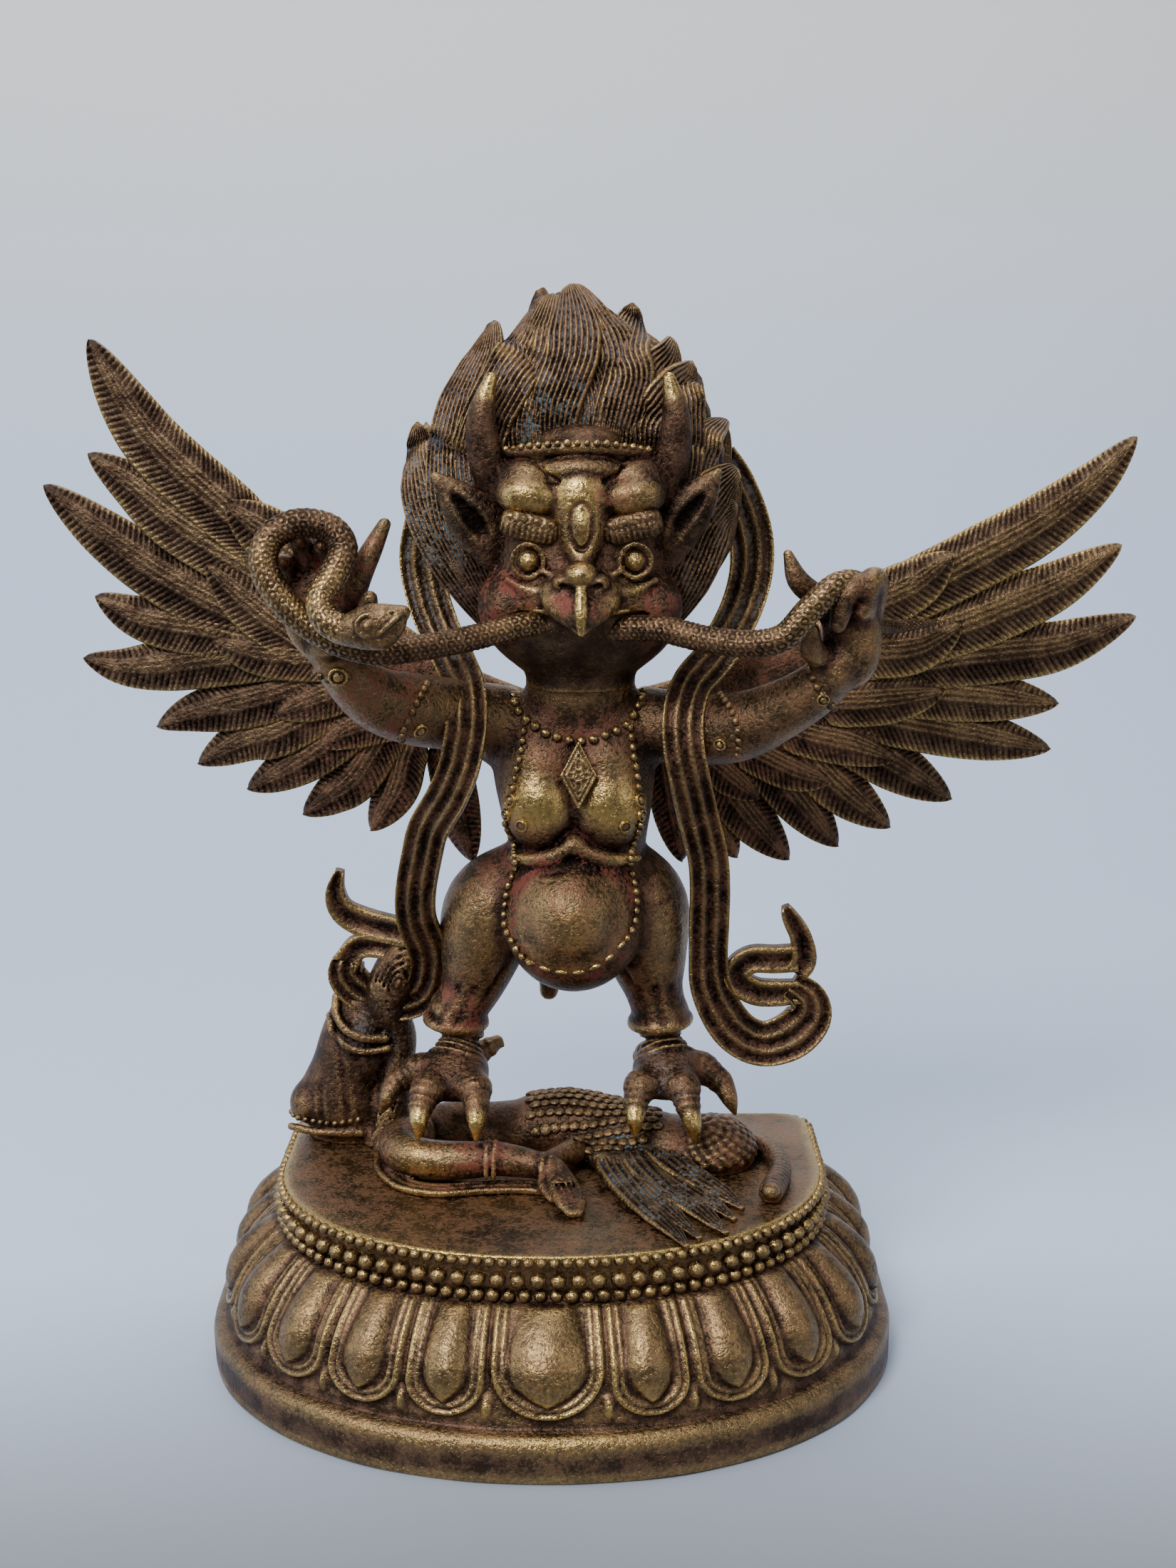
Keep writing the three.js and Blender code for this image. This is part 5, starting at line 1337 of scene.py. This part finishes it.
STRIPS = [
    ([(-33, 27, 214), (-37, 29, 204), (-40.5, 30, 190), (-39, 28, 178), (-35, 24, 167), (-29, 14, 157),
      (-25.5, 0, 151.5), (-25, -9, 143), (-27, -11.5, 131), (-31, -10.5, 121), (-37, -5, 110), (-39.5, -2, 101),
      (-42, 2, 88), (-42, 5, 78), (-39, 11, 66)],
     [(-39.5, 15, 57, 6), (-42, 18, 50.5, 6.2), (-47, 20.5, 47, 6.2), (-54, 22, 46.5, 6.2),
      (-62, 22, 49.5, 6.2), (-66.5, 22, 55, 6), (-66, 22, 60, 5)]),
    ([(50, 27, 219), (56, 29, 211), (61.5, 30, 198), (62.5, 28, 186), (59, 25, 173), (51, 16, 160.5),
      (43, 4, 153), (40, -7, 146), (40, -10.5, 136), (42, -10, 126), (44.5, -6, 115), (48, -3, 101),
      (49, -1, 90), (49, 1, 78)],
     [(49, 2.5, 67, 6.0), (50, 3, 57, 6.4), (55, 4, 46, 7), (61, 4, 40, 7), (68, 4, 38, 7), (76, 4, 41, 7.4),
      (81, 4, 47, 7), (80.5, 4, 53, 5.8), (75, 4, 57.5, 4.2)]),
]
SCROLLS = [
    [(78, 4, 55.5, 3.4), (71, 4, 55, 3.8), (64, 4, 55.5, 4.0), (58.5, 4, 59, 4.0), (58.5, 4, 63, 4),
     (63, 4, 66, 4), (70, 4, 66, 4), (77, 4, 66.5, 4)],
    [(76.5, 4, 61.5, 3.4), (79, 4, 66, 3.8), (78, 4, 73, 3.4), (74.5, 4, 79.5, 2.6), (73, 4, 83, 1.2)],
    [(-67, 22, 59, 4.2), (-62, 22, 65, 3.8), (-52, 20.5, 65, 3.6), (-42, 19, 63, 3.6)],
    [(-40, 15, 70, 4), (-50, 19, 71, 4.2), (-61, 22, 73, 4.4), (-67.5, 22, 77, 3.8), (-69.5, 22, 83, 3.0),
     (-68, 22, 90, 1.4)],
]
parts = [band_of([(*p, 6.1 + 1.3 * max(0, 1 - i / 6), 2.7) for i, p in enumerate(hanging)]
                 + [(*p, 2.7) for p in scroll], pleated(3), (0, -1, 0.25)) for hanging, scroll in STRIPS]
parts += [band_of([(*p, 2.7) for p in scroll], pleated(1, 0.6), (0, -1, 0)) for scroll in SCROLLS]
points, faces = together(parts)
behind = np.clip((points[:, 1] - 8) / 10, 0, 1) * np.clip((points[:, 2] - 148) / 8, 0, 1)
points[:, 3] *= 1 - 0.7 * behind
of_figure("scarf", points, faces, polish=0.04 + 0.12 * behind, red=0.22 - 0.1 * behind, blue=0.35 * behind,
          reach=3, depth=0.6)


# LYING NAGA
# The naga underfoot lies along the plate: scaly back, one arm bent with its hand flat on the plate, a ribbon
# round the elbow, curly hair, loose tresses, and a tail that curls back. Cast with the figure.
PLATE_LEVEL = -0.2
CURLS = 150
GOLDEN_TURN = 2.399963
naga = Wax((-62, -68, -2), (82, 36, 24), 0.76)
naga.limb([(-54, 8, 2, 5, 4), (-44, 11, 5, 7, 6), (-32, 15, 6, 9, 8), (-21, 16, 5, 10, 8), (-10, 16, 5, 11, 9),
           (-3, 16, 6, 12, 10.5), (6, 15, 6, 12.5, 11.5), (16, 13, 6, 12.5, 10), (25, 8, 5, 12, 10),
           (36, 3, 5, 11, 9), (45, 0, 4, 9, 7)], 3, face=UP)
naga.limb([(14, 4, 4, 9, 5), (20, -5, 3, 8, 4.5), (27, -10, 2, 7, 4)], 4, face=UP)
naga.limb([(-42, 6, 7, 6), (-47.5, 1, 7.5, 6.4), (-48, -6, 7, 6.4), (-43, -12, 6.5, 6.4),
           (-35, -14.5, 6.3, 6.2), (-26, -15.5, 6.8, 5.8), (-17, -16.5, 7.6, 5.3), (-8, -19, 7.4, 4.6),
           (-1, -21.5, 6.6, 3.7), (1.5, -23, 6, 3.6)], 1.4, face=UP)
naga.limb([(-1, -18, 7, 3.4), (3, -12, 7, 3.2), (7, -6, 6, 4)], 2, face=UP)
naga.limb([(1, -22, 6.4, 3.7, 3.6), (3, -27, 5, 4.6, 3), (5, -33, 3.4, 5, 2.6), (6.6, -38.5, 2.2, 4.6, 2.1),
           (7.4, -41.5, 1.4, 3.4, 1.6)], 1, face=UP)
for shift in (-2.4, -0.6, 1.2, 2.8):
    naga.limb([(4.2 + shift, -31, 6 - 0.2 * abs(shift), 0.6), (6 + shift, -37, 4.8, 0.7),
               (7.2 + 0.9 * shift, -43, 3, 0.7)], 0.5, cut=True)
naga.limb([(-2.5, -25, 4, 1.9), (-1.5, -30, 3, 1.6), (0.6, -34.5, 2, 1.2)], 0.8, face=UP)
for ribbon, girth in ((((-19.5, -11.6, 9), (-19.5, -16.5, 13.2), (-20, -21.4, 9), (-20, -22.6, 4)), 0.9),
                      (((-17.2, -11.6, 9), (-17.2, -16.8, 13.2), (-17.6, -21.8, 9), (-17.6, -22.8, 4)), 0.9),
                      (((-1.6, -17.5, 8.4), (-2.2, -21, 10.6), (-2.8, -25, 8), (-2.6, -26, 4)), 1.1),
                      (((0.6, -18.5, 8), (0, -22, 10.2), (-0.6, -25.8, 7.6), (-0.6, -26.6, 4)), 0.9)):
    naga.limb(ribbon, 0.5, girth=girth)
edge = ((-55, 20), (-53.5, 8), (-53, -4), (-50, -14), (-44, -22), (-35, -25.5), (-21, -23.5), (-9, -22.8),
        (1, -25))
naga.limb([(x, y, 0, 3.2, 1.3) for x, y in edge], 0.8, face=UP)
line = smooth_line([(x, y, 0) for x, y in edge])
ahead = np.gradient(line, axis=0)
normal = np.stack([-ahead[:, 1], ahead[:, 0]], 1) / np.linalg.norm(ahead[:, :2], axis=1)[:, None]
for shift in (-2.6, 0.1, 2.7):
    naga.limb([(p[0] + n[0] * shift, p[1] + n[1] * shift, 1.2) for p, n in zip(line[::4], normal[::4])], 0.5,
              face=UP, girth=0.95)
naga.ball((51, 1, 3), (13.5, 14, 10.5), 3)
for k in range(CURLS):
    turn, high = GOLDEN_TURN * k, 1 - (k + 0.5) / CURLS
    ring = math.sqrt(1 - high ** 2)
    spot = (51 + 13.2 * ring * math.cos(turn), 1 + 13.7 * ring * math.sin(turn), 3 + 10.3 * high)
    naga.ball(spot, (1.7, 1.7, 1.5), 0.5)
naga.limb([(56, 8, 2, 4), (63, 9, 2, 3.6), (69, 4, 2, 3.5), (71.5, -5, 2, 3.5), (71, -15, 2, 3.7),
           (68.5, -25, 2.4, 4), (66.5, -32, 3, 3.8)], 1.2, face=UP, ripple=(2.6, 0.3))
naga.ball((66.6, -34, 4.6), (2.8, 3.2, 2.4), 0.8)
naga.cut_below(PLATE_LEVEL)
points, faces = naga.skin()
naga_surface = surface_of(points, faces)


def from_above(x, y, reach):
    """1 at a place of the naga seen from above, and falling to 0 round it."""
    return np.clip(1.3 - np.hypot(points[:, 0] - x, points[:, 1] - y) / reach, 0, 1)


teal = np.clip(from_above(22, -4, 12) + 0.8 * from_above(36, -28, 16) + 0.5 * from_above(50, -44, 10)
               + 0.5 * from_above(18, 12, 9), 0, 1)
arm_glow = from_above(-36, -14, 13) * (points[:, 2] > 2)
of_figure("lying_naga", points, faces, polish=-0.05 + 0.35 * arm_glow + 0.25 * from_above(-40, -24, 14),
          red=np.clip(0.35 + 0.6 * from_above(-26, -15, 14) - teal, 0, 1), blue=0.8 * teal, reach=4)


def scale_coat():
    """Geometry Nodes: overlapping scales on points, each flat on the surface whose outward way is "facing"."""
    tree, sockets = node_group("scale coat", {"Size": "Float", "Thickness": "Float", "Seed": "Int",
                                              "Material": "Material"})
    given = node(tree, "NodeGroupInput")
    places = node(tree, "GeometryNodeMeshToPoints", None, {"Mesh": given.outputs["Geometry"]})
    scale = node(tree, "GeometryNodeMeshUVSphere", {"Segments": 9, "Rings": 6},
                 {"Radius": given.outputs["Size"]})
    facing = node(tree, "GeometryNodeInputNamedAttribute", {"data_type": "FLOAT_VECTOR", "Name": "facing"})
    turned = node(tree, "FunctionNodeAlignRotationToVector", {"axis": "Z"}, {"Vector": facing.outputs[0]})
    change = node(tree, "FunctionNodeRandomValue", {"data_type": "FLOAT", 2: 0.85, 3: 1.1},
                  {"Seed": given.outputs["Seed"]})
    laid_out(tree, given, places.outputs[0], turned.outputs[0], scale.outputs[0], change.outputs[1],
             given.outputs["Thickness"])
    return tree, sockets


scale_tree, scale_sockets = scale_coat()
spots, ways = [], []
for row in range(9):
    for k in range(17):
        x = -7 + 3.1 * k + 1.55 * (row % 2)
        y = 18 - 3.0 * row - 0.1 * (x - 10)
        if y < -9 + 0.3 * abs(x - 18) or x > 34:
            continue
        hit = naga_surface.ray_cast(Vector((x, y, 40)), Vector((0, 0, -1)))
        if hit[0] is not None and hit[0].z > 2:
            spots.append(seated(tuple(hit[0])))
            ways.append(tuple((hit[1] + Vector((0, 0.34, 0.1))).normalized()))
SCALE_RADIUS = 2.15
coat = evaluated(scale_tree, scale_sockets, {
    "Size": SCALE_RADIUS / 1000, "Thickness": 0.42, "Seed": 7, "Material": cast_brass}, spots, facing=ways)
# Painted light and shade: the scales are lighter where they face up and forwards, towards the lamps, and darker
# below.
painted_top_light = np.clip(normals_of(coat) @ np.array([0.0, -0.6, 0.75]), -1, 1)
dressed("naga_scales", coat, "garuda_figure", painted_top_light * 0.7, 0.0, 0.25, 0.55)

TRESSES = [
    [(19, -6, 3, 6, 3), (20, -16, 2.5, 6, 2.8), (25, -30, 1.8, 5.6, 2.2), (31, -44, 1.2, 4.6, 1.8),
     (36, -54, 0.6, 3.2, 1.4), (40, -64, 0.2, 0.8, 0.8)],
    [(26, -4, 4, 6, 3), (29, -15, 3, 6.4, 3), (35, -28, 2, 6, 2.4), (43, -39, 1.4, 4.8, 1.8),
     (48, -48, 0.6, 3, 1.4), (52, -55, 0.2, 0.8, 0.8)],
    [(33, -3, 5, 6, 3), (38, -13, 3.6, 6, 3), (45, -22, 2.4, 5.6, 2.4), (52, -30, 1.4, 4, 1.8),
     (58, -38, 0.3, 0.8, 0.8)],
    [(30, -4, 3, 5, 2.8), (38, -21, 2.2, 5, 2.4), (47, -34, 1.4, 4, 1.8), (55, -46, 0.4, 0.8, 0.9)],
    [(22, -5, 3, 5, 2.8), (27, -24, 2.2, 5, 2.4), (35, -42, 1.4, 4, 1.8), (44, -59, 0.3, 0.8, 0.9)],
]
points, faces = together([band_of(path, strands(5, 0.6), UP, 1.2) for path in TRESSES])
points[:, 2] = np.maximum(points[:, 2], PLATE_LEVEL)
of_figure("naga_tresses", points, faces, polish=-0.05, red=0.2, blue=0.6, reach=3, depth=0.2)


# SQUATTING NAGA
# A small naga squats behind on the viewer's left with its knees drawn up in a folded cloak. Its tall bun of
# hair is bent over against the scarf's scroll, which it carries. Cast with the figure.
squatter = Wax((-91, 8, -2), (-37, 43, 72), 0.7)
squatter.column([(-66.5, 26, -1, 14.5, 12), (-67, 26, 4, 14, 12.4), (-68.4, 26, 9, 16, 13),
                 (-69, 26, 13, 16, 13), (-68.4, 26, 19, 13.8, 12), (-65.6, 26, 26, 13.2, 11.4),
                 (-63.4, 26, 33, 13.2, 11), (-62.4, 26, 39, 12, 10), (-62.4, 26, 44, 9.6, 8.4),
                 (-63.2, 26, 48, 6.4, 6), (-63.6, 26, 50.5, 3, 3)], 2.5)
squatter.ball((-81, 23, 11), (5.4, 7.5, 6.4), 2.5)
squatter.limb([(-57, 24, 40, 6.6, 7), (-53.5, 23, 48, 8, 8), (-49.5, 22, 57, 8, 8), (-46.6, 22, 64, 6, 6.4),
               (-45.8, 22, 68, 3, 3.4)], 2)
for k in range(5):
    loop = []
    for c, s in circle(21):
        a, b = (1.3 + 1.45 * k) * c, (2.2 + 2.5 * k) * s
        x, z = -49.4 + 0.93 * a + 0.36 * b, 54 + 0.93 * b - 0.36 * a
        loop.append((x, 14.4 + 0.068 * (x + 50) ** 2 + 0.012 * (z - 54) ** 2, z))
    squatter.limb(loop, 0.4, cut=True, girth=0.5)
squatter.limb([(-53, 22, 42, 6, 6), (-50, 23, 34, 5.4, 6), (-50.5, 22.5, 24, 5, 6.4), (-53, 21, 12, 6.5, 8),
               (-55, 19, -1, 8, 9)], 2)
for k in range(6):
    x = -47 - 2.0 * k
    squatter.limb([(x - 2, 15.5, 41 - k, 0.5), (x + 0.6, 15.6 + 0.2 * k, 30 - k, 0.55),
                   (x - 1.6, 14.6, 18 - k, 0.55), (x - 4, 13, 8 - k, 0.45)], 0.4, cut=True)
for path, girth, cut in (
    (((-70, 21, 48), (-70, 18, 43), (-66.5, 15.6, 38.5), (-61, 14.8, 36), (-54, 16, 35.5)), 1.5, False),
    (((-72.4, 20, 42), (-71, 16.6, 37), (-66, 15, 33), (-60, 14.6, 31.4), (-53, 16, 32)), 1.2, False),
    (((-72, 16.4, 44), (-69, 14.8, 30), (-67, 13.6, 18), (-66, 12.6, 6)), 0.8, True),
    (((-76.5, 19, 34), (-76, 16, 24), (-75.5, 14.2, 14), (-75, 13.8, 8)), 0.8, True),
    (((-63, 14.4, 28), (-60, 13.8, 18), (-58.6, 13.4, 6)), 0.8, True),
    (((-85.5, 17, 5), (-78, 14.5, 4.2), (-70, 13.8, 4), (-62, 13.8, 4)), 1.3, False),
):
    squatter.limb(path, 1.2, cut=cut, girth=girth)
squatter.cut_below(PLATE_LEVEL)
points, faces = squatter.skin()
of_figure("squatting_naga", points, faces, polish=-0.05, red=0.2,
          blue=0.3 * glow(points, (-56, 38), 8, 0.8), reach=4)
squat_surface = surface_of(points, faces)
belt = []
for t in np.linspace(0, 1, 40):
    hit = squat_surface.ray_cast(Vector((-87 + 24 * t, -40, 8.6 - 1.4 * math.sin(3.1 * t))), Vector((0, 1, 0)))
    if hit[0] is not None:
        belt.append(seated(tuple(hit[0])))
beads("squatter_belt", [belt], 1.15, 2.5, polish=0.1)


# NECKLACE, STRINGS AND STUDS
# The jewellery is cast on: a bead necklace with a diamond pendant, long strings of beads from the shoulders past
# the breasts and round the belly, ringed bosses where they are tied, armlets and bracelets. All rubbed bright;
# the beads also carry painted light on their tops and painted shade underneath.
def from_front(surface, x, z):
    """The place and the outward way where a line from the front meets a surface."""
    return surface.ray_cast(Vector((x, -90, z)), Vector((0, 1, 0)))[:2]


def on_skin(surface, places, lift=0.0):
    """A smooth line through (x, z) places, laid from the front onto a surface."""
    hits = [from_front(surface, x, z) for x, _, z in smooth_line([(x, 0, z) for x, z in places], 0.8)]
    return [seated(tuple(place + way * lift)) for place, way in hits if place is not None]


def boss(surface, place, radius, ringed):
    """A round stud with a raised rim and a bead in the middle, or a flat middle, on a surface."""
    middle, way = from_front(surface, *place)
    turned = way.normalized().to_track_quat("Z", "Y").to_matrix()
    profile = [(1.0, -0.8), (1.0, 0.3), (0.9, 0.62), (0.76, 0.62), (0.66, 0.34), (0.55, 0.34)]
    profile += [(0.46, 0.66), (0.28, 0.86), (0.0, 0.92)] if ringed else [(0.4, 0.42), (0.2, 0.46), (0.0, 0.47)]

    def at(share, high, c=0.0, s=0.0):
        return seated(tuple(middle + turned @ Vector((radius * share * c, radius * share * s,
                                                      high * min(radius, 2.0) * 0.8))))

    rings = [[at(share, high, c, s) for c, s in circle(21)[:-1]] for share, high in profile[:-1]]
    low = seated(tuple(middle - way.normalized() * 0.8))
    return closed(np.array(rings), [low, at(*profile[-1])], clockwise=False)


strings = [
    [(-12.5, 152.5), (-11.2, 148), (-9, 144.5), (-5.6, 142.1), (-2.7, 140.2), (0.5, 138.8), (5.1, 137.6),
     (9, 137.1), (12.7, 137.6), (16.3, 138.8), (19.6, 139.9), (22.6, 141.5), (25.6, 145), (27.9, 149.6)],
    [(-7.6, 142.6), (-8.2, 137.8), (-8.6, 134.7), (-9.2, 131.6), (-10.2, 127.7), (-11.2, 123.2)],
    [(-13.4, 111.6), (-12.2, 107.5), (-11, 103.4), (-10.6, 99.1), (-10.8, 95.4), (-12.4, 92.4), (-13.4, 88),
     (-13.9, 83.2), (-13.4, 79.3), (-11.5, 76.1), (-9.3, 72.8), (-6.2, 70.4)],
    [(24.1, 141), (24.6, 135.5), (25.1, 131.6), (25.9, 128.1), (26.4, 123.4)],
    [(26.9, 111.6), (25.7, 107), (24.4, 102.4), (24, 97.5), (25.3, 92.3), (25.9, 86.7), (25.2, 81.9), (23, 78)],
]
lines = [on_skin(body_surface, places, 0.5) for places in strings]
beads("necklace_beads", lines[:1], 1.7, 3.6, red=0.2, unevenness=0.2)
beads("string_beads", lines[1:], 1.3, 2.9, stretch=1.1, polish=0.3, unevenness=0.2)
leaves = on_skin(body_surface, [(-6.2, 70.4), (-2.2, 68.9), (5.4, 67.9), (11.6, 68.9), (17.7, 72.4),
                                (21.4, 76)])
beads("leaf_beads", [leaves], 0.95, 4.9, stretch=2.2, polish=0.45, red=0.4)
points, faces = together([boss(surface, place, radius, ringed) for surface, place, radius, ringed in (
    (body_surface, (-11.9, 119.6), 2.3, True), (body_surface, (-13.2, 114.8), 2.0, True),
    (body_surface, (27.0, 119.6), 2.3, True), (body_surface, (27.4, 114.8), 2.0, True),
    (body_surface, (-8.5, 112.3), 2.1, False), (body_surface, (22.5, 112.1), 2.1, False),
    (arm_surface, (-38.2, 142.4), 2.4, True), (arm_surface, (50.8, 137.8), 2.0, True),
    (arm_surface, (-60.1, 161), 3.0, True), (arm_surface, (79.5, 153.5), 2.0, True))])
casting("bosses", points, faces, "garuda_figure", polish=0.4, red=0.3, reach=2)
bands = [on_skin(arm_surface, places) for places in (
    [(-36.4, 155.5), (-38.2, 152.3), (-41.3, 146.1), (-43.1, 142.5), (-44, 139.2)],
    [(51.1, 151), (53.6, 148.4), (55.1, 144.6), (56.0, 139.4), (56.2, 134.2)],
    [(-70.5, 164), (-67.8, 162), (-63, 160), (-57.5, 161)],
    [(75.6, 161.5), (77.4, 157.6), (79, 155.4), (81.4, 151.9), (84, 149.6)])]
beads("armlet_beads", [band for band in bands if len(band) > 3], 1.4, 2.8, polish=0.0)
DIAMOND_X, DIAMOND_Z = 8.6, 127.9
DIAMOND_WIDE = 5.5
DIAMOND_TALL = 10.2


def breast_front(z):
    """Where the pendant hangs between the breasts: it follows their slope down from the necklace."""
    return -7.6 - 0.34 * (138 - z) + 0.006 * (138 - z) ** 2


def on_pendant(x, z):
    """A place on the pendant's front."""
    return x, breast_front(z) - 1.4, z


pendant = Wax((0.5, -24, 115), (17.5, -2, 141.5), 0.32)
x, y, z = pendant.places()
diamond = (np.abs(x - DIAMOND_X) / DIAMOND_WIDE + np.abs(z - DIAMOND_Z) / DIAMOND_TALL - 1) * 4.8
pendant.field = np.maximum(diamond, np.abs(y - breast_front(z)) - 1.3).astype(np.float32)
for inset in (0.93, 0.68):
    rim = [(DIAMOND_X + inset * DIAMOND_WIDE * a, DIAMOND_Z + inset * DIAMOND_TALL * b)
           for a, b in ((0, 1), (1, 0), (0, -1), (-1, 0), (0, 1))]
    for (xa, za), (xb, zb) in zip(rim[:-1], rim[1:]):
        side_line = [on_pendant(xa + (xb - xa) * t, za + (zb - za) * t) for t in (0, 0.5, 1)]
        pendant.limb(side_line, 0.25, girth=0.42)
for x, z, wide, tall in ((DIAMOND_X, 131, 0.9, 1.7), (DIAMOND_X, 124.8, 0.9, 1.7), (6.6, DIAMOND_Z, 1.5, 0.9),
                         (10.6, DIAMOND_Z, 1.5, 0.9), (DIAMOND_X, DIAMOND_Z, 1.6, 1.8)):
    pendant.limb([on_pendant(x + wide * c, z + tall * s) for c, s in circle(13)], 0.2, girth=0.36)
points, faces = pendant.skin()
of_figure("pendant", points, faces, polish=0.5, red=0.15, reach=3)
